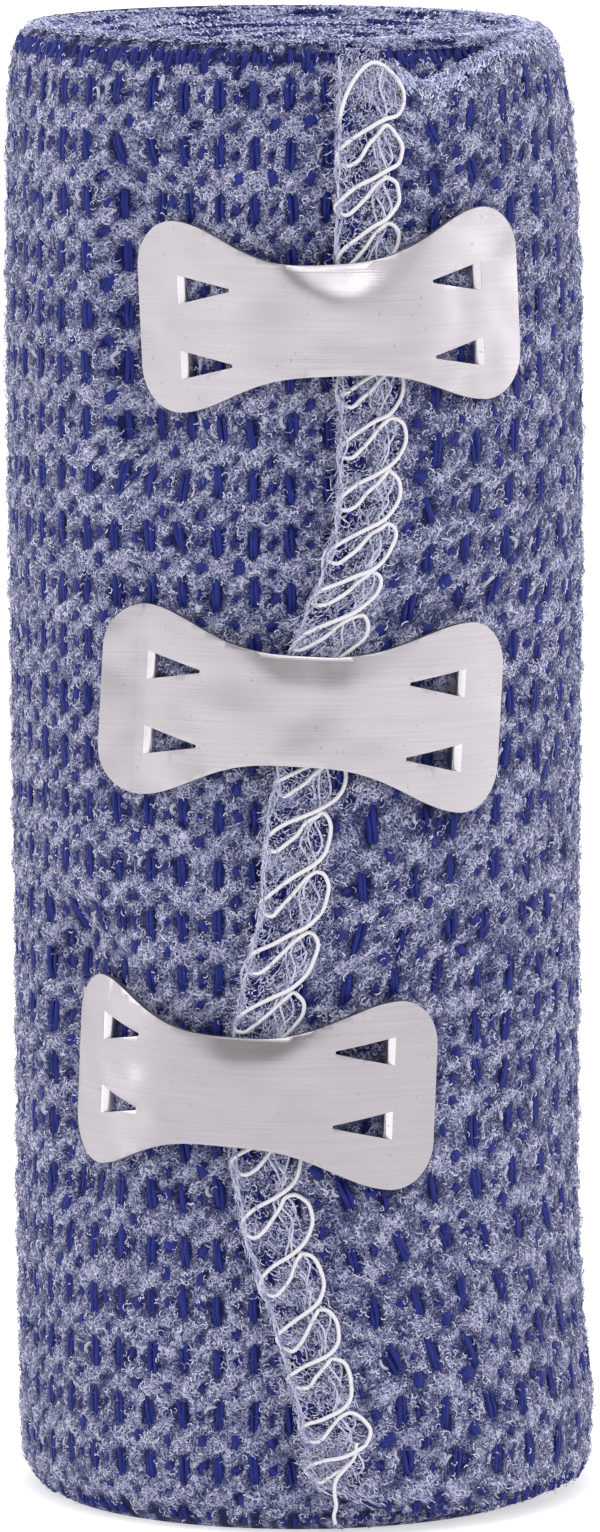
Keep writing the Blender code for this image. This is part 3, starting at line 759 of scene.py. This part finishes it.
def blueFloats():  # two strands lie side by side in each float
    u, v, chance = latticePlaces("stroke")
    u, v, chance = kept(shown(u, v, floatLook["margin"]), u, v, chance)
    strandDice = np.random.default_rng(3)
    # the floats follow the leaning seam only in part higher up
    upright = 0.55 * (along("seam", v + 1) - along("seam", v - 1)) / 2
    upright = upright * falls(u, *floatLook["leans"]) * rises(v, *floatLook["leansAbove"])
    loose, uneven = looseness(u), floatLook["uneven"]
    paths, across = [], []
    for strand in (-1, 1):
        ragged = strandDice.normal(0, 1, (3, len(u)))
        length = floatLook["length"] + uneven * chance[2] * loose + uneven * ragged[0]
        lean = 0.12 * chance[3] * loose - 0.05 + 0.02 * ragged[1] - upright
        bow = 0.05 * ragged[1] + 0.03 * chance[2]
        strandU = u + strand * floatLook["apart"] * (1 + 0.2 * chance[0])
        pathU, pathV, lift = bands(strandU, v + 0.17 * ragged[2], lean, length, bow, floatLook["shares"],
                                   floatLook["lifts"])
        paths.append(clothPoint(pathU + plumb(u, v, pathV), pathV, lift + 0.03 * ragged[:1].T))
        across.append(floatLook["halfWidths"] * (1 + 0.12 * ragged[2])[:, None])
    return strands("blue_floats", np.concatenate(paths), np.concatenate(across), blueFilament,
                   floatLook["flatness"], 5)


pickLook = dict(
    sizes=(0.8, 0.92), uneven=0.22, margin=0.9, leastChance=-1.3, shares=(-1, -0.6, 0.6, 1),
    lifts=(-0.43, -0.16, -0.16, -0.43), halfWidths=np.array([0.26, 0.34, 0.34, 0.26]), flatness=0.5)


def bluePicks():  # the small blue spots between the floats, half sunk in the nap
    u, v, chance = latticePlaces("spot")
    keep = shown(u, v, pickLook["margin"]) & (chance[3] > pickLook["leastChance"])
    u, v, chance = kept(keep, u, v, chance)
    row = np.round((weave["topRow"] - v) / weave["rowPitch"] * 2)
    size = np.where(row % 2 < 0.5, *pickLook["sizes"]) * (1 + pickLook["uneven"] * chance[1])
    pathU, pathV, lift = bands(u, v, 0.6 * chance[2], size + 0.2 * chance[3], 0.1 * chance[0],
                               pickLook["shares"], pickLook["lifts"])
    paths = clothPoint(pathU + plumb(u, v, pathV), pathV, lift)
    across = pickLook["halfWidths"] * (size * (1 + 0.2 * chance[0]))[:, None]
    return strands("blue_picks", paths, across, blueFilament, pickLook["flatness"], 6)


markLook = dict(pitch=0.46, halfWidth=0.18, lifts=(-0.45, -0.05, -0.05, -0.45), lowerFrom=4,
                upper=(1.4, 0.86), lower=(0.95, 0.5))  # length, share kept


def selvedgeMarks():  # close-set blue stitches all along both selvedges
    chance = np.random.default_rng(17)
    u = np.arange(0.9, turnLength + 38, markLook["pitch"])
    u = u + chance.normal(0, 0.05, len(u)) + 0.07 * (-1) ** np.arange(len(u))
    low = looseRange(u)[0]
    parts = []
    for level, firstU, (length, share) in (
            (roll["width"] - weave["markedBelow"] + 0 * u, weave["markedFrom"], markLook["upper"]),
            (np.where(u < farU, low + 0.45, 0.75), markLook["lowerFrom"], markLook["lower"])):
        v = level + chance.normal(0, 0.1, len(u))
        keep = shown(u, v) & (chance.uniform(0, 1, len(u)) < share) & (u > firstU)
        markU, markV = kept(keep, u, v)
        lean = chance.normal(0, 0.12, len(markU))
        lengths = length * chance.uniform(0.7, 1.2, len(markU))
        pathU, pathV, lift = bands(markU, markV, lean, lengths, 0 * markU, pickLook["shares"],
                                   markLook["lifts"])
        parts.append(clothPoint(pathU + plumb(markU, markV, pathV), pathV, lift))
    paths = np.concatenate(parts)
    across = np.full(paths.shape[:2], markLook["halfWidth"]) * chance.uniform(0.8, 1.2, (len(paths), 1))
    return strands("selvedge_marks", paths, across, blueFilament, seed=8)


creamLook = dict(
    aside=0.58, length=1.0, bow=0.3, margin=1.0, leastChance=0.9, shares=(-1, -0.5, 0, 0.5, 1),
    lifts=(-0.35, -0.06, -0.02, -0.06, -0.35), halfWidths=np.array([0.09, 0.115, 0.12, 0.115, 0.09]))


def creamLoops():  # smooth cotton loops that show beside a few of the floats
    u, v, chance = latticePlaces("stroke")
    keep = shown(u, v, creamLook["margin"]) & (chance[0] + chance[1] > creamLook["leastChance"])
    u, v, chance = kept(keep, u, v, chance)
    side = np.where(chance[2] > 1.0, 1.0, -1.0)
    lean = 0.4 * chance[3] - 0.2 * side
    length = creamLook["length"] + 0.2 * chance[2]
    paths = clothPoint(*bands(u + side * creamLook["aside"], v + 0.3 * chance[1], lean, length,
                              side * creamLook["bow"], creamLook["shares"], creamLook["lifts"]))
    across = creamLook["halfWidths"] * (1 + 0.12 * chance[1])[:, None]
    return strands("cream_loops", paths, across, creamCotton)


floats = blueFloats()
picks = bluePicks()
marks = selvedgeMarks()
loops = creamLoops()
print("floats and loops ready")

nap = dict(
    count=119000, length=0.62, curl=5.2, width=0.076, steps=7, raised=(0.02, 0.16), uneven=0.46,
    hollows=(-0.66, 0.03),  # fewer fibres are rooted between these levels, and none below
    levels=[-0.62, -0.3, 0.02, 0.3], endLevels=[-0.6, -0.28, -0.14], endCount=9500, rimShare=0.42,
    parts=[  # name, share of the count, first and last u, seed
        ("loose_end_nap", 0.29, 0.3, farU, 11), ("wound_nap_right", 0.23, farU, farU + 29, 12),
        ("wound_nap_back", 0.22, farU + 29, farU + 58, 14),
        ("wound_nap_left", 0.235, farU + 58, turnLength + 39, 13),
        ("wound_nap_foot", 0.012, turnLength + 2, turnLength + 39, 19, 1.5)])


def ribbons(name, paths, out, width, shades, materials):
    # flat curled fibres: a strip of triangles along each path, its corners on one side and the other in turn
    number, steps = paths.shape[:2]
    side = sideways(paths, out)[1]
    taper = np.interp(np.linspace(0, 1, steps), [0, 0.25, 0.8, 1], [0.5, 1.0, 1.0, 0.4])[None, :] * width / 2
    points = paths + side * (taper * np.where(np.arange(steps) % 2, 1, -1))[..., None]
    one = np.array([(i, i + 1, i + 2) if i % 2 == 0 else (i + 1, i, i + 2) for i in range(steps - 2)])
    triangles = (one[None] + (np.arange(number) * steps)[:, None, None]).reshape(-1, 3)
    return addMesh(name, points.reshape(-1, 3), (), materials, triangles, slots=np.repeat(shades, len(one)))


def fibreCurl(chance, number):  # how strongly each fibre curls, and which way
    return chance.normal(0, 1.4, number) + np.sign(chance.normal(0, 1, number)) * nap["curl"]


def loopCurl(chance, number, least, most):  # curled at least so much, either way
    return np.sign(chance.normal(0, 1, number)) * chance.uniform(least, most, number)


def curls(heading, a, b, length, curl, lead=0):
    # curled paths in a plane: each has a start, a first heading and a lead in steps
    share = np.linspace(0, 1, nap["steps"])[None, :]
    step = (length / (nap["steps"] - 1))[:, None]
    turn = heading[:, None] + curl[:, None] * (length[:, None] * share)
    back = (1 - lead) * step
    return (a[:, None] + np.cumsum(np.cos(turn) * step, axis=1) - np.cos(turn[:, :1]) * back,
            b[:, None] + np.cumsum(np.sin(turn) * step, axis=1) - np.sin(turn[:, :1]) * back)


def arched(raised, first=0.3, last=2.8):  # a fibre's middle stands up from its ends
    return raised[:, None] * np.sin(np.linspace(first, last, nap["steps"]))[None, :]


def anyWay(chance, out):  # which way each fibre's flat side looks
    return out + chance.normal(0, 0.4, (len(out), 1, 3))


def napFibres(name, share, firstU, lastU, seed, highest=roll["width"]):
    # curled single fibres raised by brushing, thick on the puffs and sparse on the floats
    chance = np.random.default_rng(seed)
    count = int(nap["count"] * share)
    u = chance.uniform(firstU, lastU, count * 3)
    v = chance.uniform(0.1, highest - 0.1, count * 3)
    high, blue = relief(u, v)
    keep = shown(u, v) & (chance.uniform(0, 1, len(u)) > blue * 0.95)
    keep = keep & (chance.uniform(*nap["hollows"], len(u)) < high)
    u, v = u[keep][:count], v[keep][:count]
    number = len(u)
    length = nap["length"] * chance.uniform(0.55, 1.4, number)
    curl = fibreCurl(chance, number)
    pathU, pathV = curls(chance.uniform(0, fullTurn, number), u, v, length, curl)
    surface, blueHere = relief(pathU, pathV)
    # a fibre is paler on the puffs and where it stands higher, darker in the hollows: painted light and shade
    bright = surface.mean(1)
    raised = nap["raised"][0] + nap["raised"][1] * chance.uniform(0, 1, number) ** 1.5
    overFloat = (0.13 * blueHere - 0.05) * (chance.uniform(0, 1, number) < 0.5)[:, None] - 0.12
    lift = np.maximum(surface * weave["puffed"], overFloat) + 0.02 + arched(raised)
    paths = clothPoint(pathU, np.clip(pathV, 0.1, roll["width"]), lift)
    out = anyWay(chance, outward(paths))
    bright = bright + 0.3 + raised * 1.5 - blueHere.mean(1) * 0.4 + chance.normal(0, nap["uneven"], number)
    width = nap["width"] * chance.uniform(0.75, 1.2, (number, 1))
    return ribbons(name, paths, out, width, np.digitize(-bright, nap["levels"]), fibreShades)


def turnProfile(across):  # how far a turn's edge falls away on either side of its middle
    return np.interp(across, *zip(*ends["profile"])) * ends["groove"]


def endNap():  # the same fibres on the turns' edges, lying any way
    chance = np.random.default_rng(15)
    number = nap["endCount"]
    turned = ends["turns"] * (1 - np.sqrt(chance.uniform(0.01, 1, number)))
    rim = chance.uniform(0, 1, number) < nap["rimShare"]
    turned = np.where(rim, chance.uniform(0, 1.02, number), turned)
    across = np.where(rim, chance.uniform(-0.1, 0.6, number), chance.uniform(0.08, 0.92, number))
    base = onEnd(turned, across, turnProfile(across))
    length = nap["length"] * chance.uniform(0.6, 1.5, number)
    curl = fibreCurl(chance, number)
    pathX, pathY = curls(chance.uniform(0, fullTurn, number), base[:, 0], base[:, 1], length, curl)
    raised = chance.uniform(0.02, 0.25, number)
    paths = np.stack([pathX, pathY, base[:, 2:] + arched(raised)], -1)
    out = anyWay(chance, np.array([0, 0, 1.0]) + 0 * paths)
    # a fibre that stands higher is given a paler shade: painted light
    shade = np.digitize(-raised * 3 - chance.normal(0, 0.3, number) - 0.45 * rim, nap["endLevels"])
    width = nap["width"] * chance.uniform(0.75, 1.2, (number, 1))
    return ribbons("end_nap", paths, out, width, shade, endShades)


loopLook = dict(apart=(0.25, 0.25), width=0.12, ridgeNumber=1600, ridgeSides=560, ridgeWidth=0.08)


def selvedgeLoops():  # the weft's loops, round over each turn's upper edge
    chance = np.random.default_rng(16)
    turned, places = 0.0, []
    least, more = loopLook["apart"]
    while turned < ends["turns"] - 0.5:
        places.append(turned)
        reach = (roll["radius"] - turned * ends["pitch"]) * fullTurn
        turned += (least + more * chance.uniform() + 0.015 * turned) / reach
    number = len(places)
    share = np.linspace(0, 1, 6)[None, :]
    turned = np.array(places)[:, None]
    shift = chance.normal(0, 0.35, (number, 1)) / (roll["radius"] - turned * ends["pitch"]) / fullTurn
    across = 0.02 + 0.86 * share + 0 * turned
    raised = np.array([-0.02, 0.04, 0.08, 0.08, 0.04, -0.02])
    lift = turnProfile(across) + raised + chance.uniform(-0.03, 0.05, (number, 1))
    paths = onEnd(turned + shift * share, across, lift)
    run = np.convolve(chance.normal(0, 1, number), np.ones(9) / 3, mode="same")
    shade = np.where(run > 0.75, 3, np.clip(chance.integers(0, 4, number) - 1, 0, 2))
    out = np.array([0, 0, 1.0]) + chance.normal(0, 0.2, (number, 1, 3)) + 0 * paths
    width = loopLook["width"] * chance.uniform(0.7, 1.3, (number, 1))
    return ribbons("selvedge_loops", paths, out, width, shade, endShades)


def looseRidge():  # pale weft loops along the loose end's upper selvedge, from the stitching to the rim
    chance = np.random.default_rng(18)
    number = loopLook["ridgeNumber"]
    onTop = np.arange(number) > loopLook["ridgeSides"]
    u = np.where(onTop, chance.uniform(4.3, farU + 1, number), chance.uniform(4.3, 30, number))
    top = looseRange(u)[1]
    v = np.where(onTop, top + 0.1, top + 0.1 - np.abs(chance.normal(0, 0.4, number)))
    length = chance.uniform(0.6, 1.4, number)
    curl = loopCurl(chance, number, 3.0, 6.5)
    pathU, pathV = curls(chance.uniform(0, fullTurn, number), u, v, length, curl)
    lift = 0.05 + arched(chance.uniform(0.02, 0.25, number), 0.2, 2.9)
    lift = lift - (onTop * chance.uniform(0, 1.1, number))[:, None]
    lift = lift - 0.5 * rises(pathV - top[:, None], 0, 0.5)
    paths = clothPoint(pathU, np.minimum(pathV, roll["width"]), lift)
    out = anyWay(chance, outward(paths))
    width = loopLook["ridgeWidth"] * chance.uniform(0.8, 1.4, (number, 1))
    return ribbons("loose_selvedge_loops", paths, out, width, chance.integers(0, 2, number), endShades[:2])


looseNap, *woundNaps = [napFibres(*part) for part in nap["parts"]]
ridge = looseRidge()
endFibres = endNap()
rimLoops = selvedgeLoops()
print("nap ready")

stitching = dict(
    band=4.4, pitch=[(0.0, 3.7), (40.0, 3.65), (75.0, 3.5), (86.0, 3.15), (101.0, 3.15)], firstPitch=3.6,
    first=100.0, last=2.0, thread=0.29, tail=0.26, fibre=0.055, fibreLength=0.8, fibres=8000,
    gathers=(0.06, 0.3, 0.56, 0.95),  # where the shares for the corner, edge, chain and band end
    start=[  # across, down, lift
        (0.15, 3.9, -0.1), (0.25, 3.0, 0.25), (0.6, 1.9, 0.3), (1.3, 0.8, 0.3), (2.3, 0.1, 0.3)],
    looper=[  # down in pitches, across in bands
        (0.0, 0.8), (0.06, 0.92), (0.22, 1.0), (0.46, 1.0), (0.7, 0.92), (0.9, 0.76), (1.05, 0.55),
        (1.2, 0.33), (1.36, 0.13), (1.52, 0.02), (1.67, 0.05), (1.73, 0.18), (1.62, 0.32), (1.42, 0.47),
        (1.2, 0.61), (1.06, 0.71)],
    tailRoute=[  # right of the axis, height
        (3.9, 6.6), (3.75, 5.6), (3.1, 4.8), (2.55, 4.1), (2.45, 3.2), (2.6, 2.3), (2.5, 1.5), (2.65, 0.9)],
    tailLifts=([1, 3, 6], [0.1, 0.45, 0.3]), hangsAt=20.2,
    wavering=[  # name, middle and swing across the band, width, seed, lift
        ("edge_thread", 0.12, 0.12, 0.2, 31, -0.08), ("second_edge_thread", 0.25, 0.12, 0.14, 32, 0.08),
        ("chain_left_thread", 2.7, 0.34, 0.16, 33, 0.12), ("chain_right_thread", 3.4, 0.36, 0.16, 34, 0.12),
        ("chain_middle_thread", 3.05, 0.3, 0.14, 35, 0.2)])


def roundedPath(places, fineness):  # a smooth curve through places, from spline weights
    places = np.asarray(places, float)
    longer = np.concatenate([[2 * places[0] - places[1]], places, [2 * places[-1] - places[-2]]])
    t = np.linspace(0, 1, fineness, endpoint=False)[:, None]
    parts = []
    for i in range(1, len(longer) - 2):
        a, b, c, d = longer[i - 1:i + 3]
        parts.append(0.5 * (2 * b + (c - a) * t + (2 * a - 5 * b + 4 * c - d) * t ** 2 +
                            (3 * b - a - 3 * c + d) * t ** 3))
    return np.concatenate(parts + [places[-1:]])


def roundThread(name, path, width, material, taper=1.0):  # one round thread, its two ends tapered
    across = np.full((1, len(path)), width / 2)
    across[0, [0, -1]] *= taper
    points, quads = sweep(path[None], outward(path[None]), across, across, roundProfile, closed=True)
    return addMesh(name, points, quads, [material])


def sewnThread(name, places, lifts, width, material, fineness):  # a thread on the cloth through (u, v) places
    full = roundedPath(np.column_stack([places, lifts]), fineness)
    return roundThread(name, clothPoint(full[:, 0], full[:, 1], full[:, 2]), width, material, 0.4)


def looperThread():
    top = stitching["first"]
    places = [(across, top - down) for across, down, lift in stitching["start"]]
    lifts = [lift for across, down, lift in stitching["start"]]
    chance = np.random.default_rng(23)
    while top > stitching["last"] + 5.0:
        pitch = np.interp(top, *zip(*stitching["pitch"])) * chance.uniform(0.9, 1.1)
        if top == stitching["first"]:
            pitch = stitching["firstPitch"]
        wide = chance.uniform(0.93, 1.07)
        for down, across in stitching["looper"]:
            places.append((across * stitching["band"] * wide + chance.normal(0, 0.05),
                           top - down * pitch + chance.normal(0, 0.05)))
            # it lies higher where it crosses itself, and low where it goes round the cloth's edge
            over = 0.2 if 0.7 < down < 1.2 and across > 0.4 else 0.0
            lifts.append(0.2 + over + (-0.2 if across < 0.06 else 0.0))
        top -= pitch
    return sewnThread("looper_thread", places, lifts, stitching["thread"], stitchThread, 3)


def waveringThread(name, centre, swing, width, seed, lift):
    chance = np.random.default_rng(seed)
    heights = np.arange(stitching["first"] + 0.3, 2.6, -0.85)
    swings = swing * np.sin(heights * fullTurn / 3.6 + chance.uniform(0, 6))
    places = np.column_stack([centre + swings + chance.normal(0, 0.08, len(heights)), heights])
    return sewnThread(name, places, lift + chance.normal(0, 0.05, len(heights)), width, fibreShades[0], 2)


def seamFuzz():  # the stitching's stray fibres, thick along its edge, its chain and at both ends
    chance = np.random.default_rng(29)
    number = stitching["fibres"]
    kind = chance.uniform(0, 1, number)
    atCorner, atEdge, atChain, onBand = stitching["gathers"]
    u = np.where(kind < atEdge, chance.normal(0.12, 0.2, number), chance.normal(3.15, 0.45, number))
    u = np.where(kind > atChain, chance.uniform(0.3, 3.3, number), u)
    u = np.where(kind > onBand, chance.uniform(0.2, 4.4, number), u)
    v = chance.uniform(2.0, 100.2, number)
    v = np.where(kind > onBand, chance.uniform(98.0, 100.6, number), v)
    corner = kind < atCorner
    u = np.where(corner, chance.uniform(0.2, 2.8, number), u)
    v = np.where(corner, chance.uniform(2.2, 6.5, number), v)
    length = stitching["fibreLength"] * chance.uniform(0.6, 1.4, number)
    alongEdge = ((kind < atEdge) | (chance.uniform(0, 1, number) < 0.4)) & ~corner
    heading = np.where(alongEdge, chance.normal(-1.57, 0.3, number), chance.uniform(0, 6.3, number))
    bent = loopCurl(chance, number, 3.0, 6.0)
    curl = np.where(alongEdge, chance.normal(0, 2.2, number).clip(-4.5, 4.5), bent)
    pathU, pathV = curls(heading, u, v, length, curl, lead=1)
    lift = 0.1 + arched(chance.uniform(0.02, 0.3, number), 0.2, 2.9) - 0.9 * rises(-pathU, 0, 0.5)
    paths = clothPoint(pathU, np.clip(pathV, 0.6, 100.7), lift)
    out = anyWay(chance, outward(paths))
    return ribbons("seam_fuzz", paths, out, stitching["fibre"] * chance.uniform(0.7, 1.3, (number, 1)),
                   chance.integers(-1, 3, number).clip(0), fibreShades[:3])


def threadTail():  # the looper's cut end, hanging at the lower corner
    aside, height = roundedPath(stitching["tailRoute"], 4).T
    bearing = np.arcsin(aside / stitching["hangsAt"])
    radius = clothRadius(bearing, bearing - seamBearing(height), height)
    path = placed(bearing, radius + np.interp(height, *stitching["tailLifts"]), height)
    return roundThread("thread_tail", path, stitching["tail"], stitchThread)


stitches = [looperThread()] + [waveringThread(*values) for values in stitching["wavering"]]
stitches += [seamFuzz(), threadTail()]
print("stitching ready")

shaping = dict(  # how a clip's plate and teeth are cut, rounded and bent
    slices=0.5, alongTo=14.0, upTo=5.5, rolledTo=9.2, edge=0.11, toothWall=0.3, bend=0.5, bendShare=0.65,
    toothPast=0.3, sunk=0.02)


def selectOnly(*pieces):
    bpy.ops.object.select_all(action="DESELECT")
    for piece in pieces:
        piece.select_set(True)


def modified(piece, kind, **settings):  # a modifier, applied
    modifier = piece.modifiers.new(kind.lower(), kind)
    for name, value in settings.items():
        setattr(modifier, name, value)
    bpy.context.view_layer.objects.active = piece
    bpy.ops.object.modifier_apply(modifier=modifier.name)


def toothPlaces(values):  # (side, height) of the four teeth
    heights = [values["punched"] + level * plate["toothSpacing"] / 2 for level in (-1, 1)]
    return [(side, height) for side in (-1, 1) for height in heights]


def plateOutline(values):
    full = plate["length"] / 2 - plate["cornerLength"]
    halves = []
    for side in (1, -1):
        corner = [(full + plate["cornerLength"] * math.cos(math.pi / 2 * i / 10),
                   plate["endHeight"] / 2 - plate["cornerHeight"] * (1 - math.sin(math.pi / 2 * i / 10)))
                  for i in range(10)]
        narrow = plate["waistHeight"] / 2 + side * values["waist"]
        middle = []
        for i in range(49):
            reach = full * (1 - 2 * i / 48)
            swell = ((1 - math.cos(math.pi * reach / plate["widestAt"])) / 2) ** plate["sharpness"]
            middle.append((reach, narrow + (plate["endHeight"] / 2 - narrow) * swell))
        halves.append([(x, side * y) for x, y in corner + middle + [(-x, y) for x, y in reversed(corner)]])
    return halves[0] + list(reversed(halves[1]))


def punchOut(piece, side, middle):  # the opening that a tooth leaves in the plate
    root, tip = side * (plate["toothRoot"] + plate["lip"]), side * (plate["toothRoot"] - plate["toothLength"])
    selectOnly()
    bpy.ops.mesh.primitive_cube_add(size=1.0)
    cutter = bpy.context.object
    for corner in cutter.data.vertices:
        atRoot = corner.co.x * side > 0
        half = plate["toothWidth"] / 2 if atRoot else plate["toothTip"] / 2
        corner.co = ((root if atRoot else tip) * mm, (middle + math.copysign(half, corner.co.y)) * mm,
                     math.copysign(1.0, corner.co.z) * mm)
    modified(piece, "BOOLEAN", operation="DIFFERENCE", solver="EXACT", object=cutter)
    bpy.data.objects.remove(cutter)


def sliceUp(piece):  # cuts across the flat plate, so that it can bend smoothly
    shape = bmesh.new()
    shape.from_mesh(piece.data)
    bmesh.ops.remove_doubles(shape, verts=shape.verts, dist=1e-6)
    step, far, high = shaping["slices"], shaping["alongTo"], shaping["upTo"]
    for place in np.arange(-far, far + 0.1, step):
        everything = list(shape.verts) + list(shape.edges) + list(shape.faces)
        bmesh.ops.bisect_plane(shape, geom=everything, dist=1e-6, plane_co=(place * mm, 0, 0),
                               plane_no=(1, 0, 0))
    for level in np.arange(-high, high + 0.1, step):
        faces = [face for face in shape.faces if abs(face.calc_center_median().x) < shaping["rolledTo"] * mm]
        parts = list(dict.fromkeys([part for face in faces for part in (*face.verts, *face.edges)]))
        bmesh.ops.bisect_plane(shape, geom=parts + faces, dist=1e-6, plane_co=(0, level * mm, 0),
                               plane_no=(0, 1, 0))
    shape.to_mesh(piece.data)
    shape.free()


def bentTooth(side, middle):  # a tooth turned down at its root
    bend, length = shaping["bend"], plate["toothLength"] + shaping["toothPast"]
    selectOnly()
    bpy.ops.mesh.primitive_grid_add(x_subdivisions=10, y_subdivisions=2, size=1.0)
    tooth = bpy.context.object
    for corner in tooth.data.vertices:
        # the first share of the grid makes the bend at the root
        run = np.interp(corner.co.x + 0.5, (0.0, shaping["bendShare"], 1.0), (0.0, bend * 1.7, length))
        half = plate["toothWidth"] / 2 + (plate["toothTip"] - plate["toothWidth"]) / 2 * run / length
        turned = min(run / bend, math.pi / 2)
        reach = bend * math.sin(turned)
        down = bend * (1 - math.cos(turned)) + max(0.0, run - bend * math.pi / 2)
        corner.co = (side * (plate["toothRoot"] + plate["lip"] - reach) * mm,
                     (middle + corner.co.y * 2 * half) * mm,
                     (plate["thickness"] / 2 - shaping["sunk"] - down) * mm)
    modified(tooth, "SOLIDIFY", thickness=shaping["toothWall"] * mm, offset=1.0 if side > 0 else -1.0)
    tooth.data.materials.append(burnishedAndHighlit)
    return tooth


def springClip(values, material):  # a waisted plate, punched, its four teeth turned down, bent round the roll
    outline = plateOutline(values)
    selectOnly()
    bpy.ops.mesh.primitive_circle_add(vertices=len(outline), radius=10 * mm, fill_type="NGON")
    piece = bpy.context.object
    for corner, (x, y) in zip(piece.data.vertices, outline):
        corner.co = (x * mm, y * mm, -plate["thickness"] / 2 * mm)
    bpy.ops.object.mode_set(mode="EDIT")
    bpy.ops.mesh.select_all(action="SELECT")
    bpy.ops.mesh.extrude_region_move(TRANSFORM_OT_translate={"value": (0, 0, plate["thickness"] * mm)})
    bpy.ops.mesh.select_all(action="SELECT")
    bpy.ops.mesh.normals_make_consistent(inside=False)
    bpy.ops.object.mode_set(mode="OBJECT")
    for side, middle in toothPlaces(values):
        punchOut(piece, side, middle)
    sliceUp(piece)
    modified(piece, "BEVEL", width=shaping["edge"] * mm, segments=2, limit_method="ANGLE",
             angle_limit=math.radians(40))
    piece.data.materials.append(material)
    selectOnly(*[bentTooth(side, middle) for side, middle in toothPlaces(values)], piece)
    bpy.context.view_layer.objects.active = piece
    bpy.ops.object.join()
    crown, way, out = clipFrame(values)
    cosine, sine = math.cos(math.radians(values["tilt"])), math.sin(math.radians(values["tilt"]))
    for corner in piece.data.vertices:
        reach, up, lift = (part / mm for part in corner.co)
        across, drop = (float(part) for part in bentPlate(values, reach, lift - rolledRim(values, reach, up)))
        aside, higher = across * cosine - up * sine, up * cosine + across * sine
        corner.co = ((crown[0] + way[0] * aside - out[0] * drop) * mm,
                     (crown[1] + way[1] * aside - out[1] * drop) * mm, (values["height"] + higher) * mm)
    piece.name = "spring_" + values["name"]
    bpy.ops.object.shade_smooth_by_angle(angle=math.radians(35))
    modified(piece, "WEIGHTED_NORMAL", keep_sharp=True)
    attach(piece, "root")
    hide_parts(values["name"])
    return piece


for values, finish in zip(clips, (aluminium, aluminium, shadedAluminium)):
    springClip(values, finish)
print("clips ready")

studio = dict(
    floor="#d2d2d4", floorGlow=0.52, floorSize=6.0, tent="#ffffff", aim=(0, 0, 0.05),
    # a dark part of the room, that the clips' rolled rims mirror: (middle, half widths) on the sky
    darkPart=((-0.31, -0.9, 0.19), (0.44, 0.9, 0.14)), darkStrength=0.06, darkEdge=(0.7, 1.1),
    lamps=[  # name, place, width, height, power
        ("keyLeft", (-1.2, 0.2, 0.3), 0.35, 1.0, 4.7), ("keyRight", (1.2, 0.2, 0.3), 0.35, 1.0, 4.8),
        ("topLight", (0.0, -0.25, 1.2), 0.35, 0.35, 2.9), ("frontLight", (-0.02, -1.3, 0.8), 0.8, 0.2, 2.1)])


def litTable():
    # Opal acrylic sheet, extruded and lit from below: an even white with no gloss, so shadows stay faint.
    selectOnly()
    bpy.ops.mesh.primitive_plane_add(size=studio["floorSize"])
    floor = bpy.context.object
    floor.name = "studio_floor"
    floor.data.materials.append(newMaterial("litAcrylicTable", {
        "Base Color": studio["floor"], "Roughness": 0.9, "Emission Color": studio["tent"],
        "Emission Strength": studio["floorGlow"]})[0])


def whiteTent():  # white all round but for one dark part
    world = bpy.data.worlds.new("studioLight")
    bpy.context.scene.world = world
    world.use_nodes = True
    tree = world.node_tree
    place = addNode(tree, "TexCoord", {})["Generated"]
    middle, reach = studio["darkPart"]
    first, last = studio["darkEdge"]
    aside = addNode(tree, "VectorMath", {0: place, 1: middle}, operation="SUBTRACT")["Vector"]
    shares = addNode(tree, "VectorMath", {0: aside, 1: reach}, operation="DIVIDE")["Vector"]
    far = addNode(tree, "VectorMath", {0: shares}, operation="LENGTH")["Value"]
    shaded = addNode(tree, "MapRange", {"Value": far, "From Min": first, "From Max": last,
                                        "To Min": studio["darkStrength"], "To Max": 1.0})["Result"]
    setInputs(tree.nodes["Background"], {"Color": studio["tent"], "Strength": shaded})


def areaLight(name, place, width, height, power):
    lamp = bpy.data.lights.new(name, "AREA")
    lamp.shape = "RECTANGLE"
    lamp.size, lamp.size_y = width, height
    lamp.energy = power
    light = bpy.data.objects.new(name, lamp)
    bpy.context.scene.collection.objects.link(light)
    light.location = place
    aim = np.array(studio["aim"]) - np.array(place)
    light.rotation_euler = (math.atan2(math.hypot(aim[0], aim[1]), -aim[2]), 0, math.atan2(-aim[0], aim[1]))


# the camera of the photograph; its focal length and optical centre are in pixels of the picture
shot = dict(wide=600, tall=1532, focal=10573.7, centre=(297.13, 764.18), sensor=36.0,
            place=(0.0, -0.720, 0.144), down=7.438, near=0.05, far=20.0)


def setCamera():
    lens = bpy.data.cameras.new("camera")
    lens.sensor_width = shot["sensor"]
    lens.lens = shot["sensor"] * shot["focal"] / shot["tall"]
    lens.shift_x = (shot["wide"] / 2 - shot["centre"][0]) / shot["tall"]
    lens.shift_y = -(shot["tall"] / 2 - shot["centre"][1]) / shot["tall"]
    lens.clip_start, lens.clip_end = shot["near"], shot["far"]
    view = bpy.data.objects.new("camera", lens)
    bpy.context.scene.collection.objects.link(view)
    view.location = shot["place"]
    view.rotation_euler = (math.radians(90 - shot["down"]), 0.0, 0.0)
    bpy.context.scene.camera = view


litTable()
whiteTent()
for values in studio["lamps"]:
    areaLight(*values)
setCamera()
bpy.context.scene.view_settings.view_transform = "Standard"
print("studio ready")
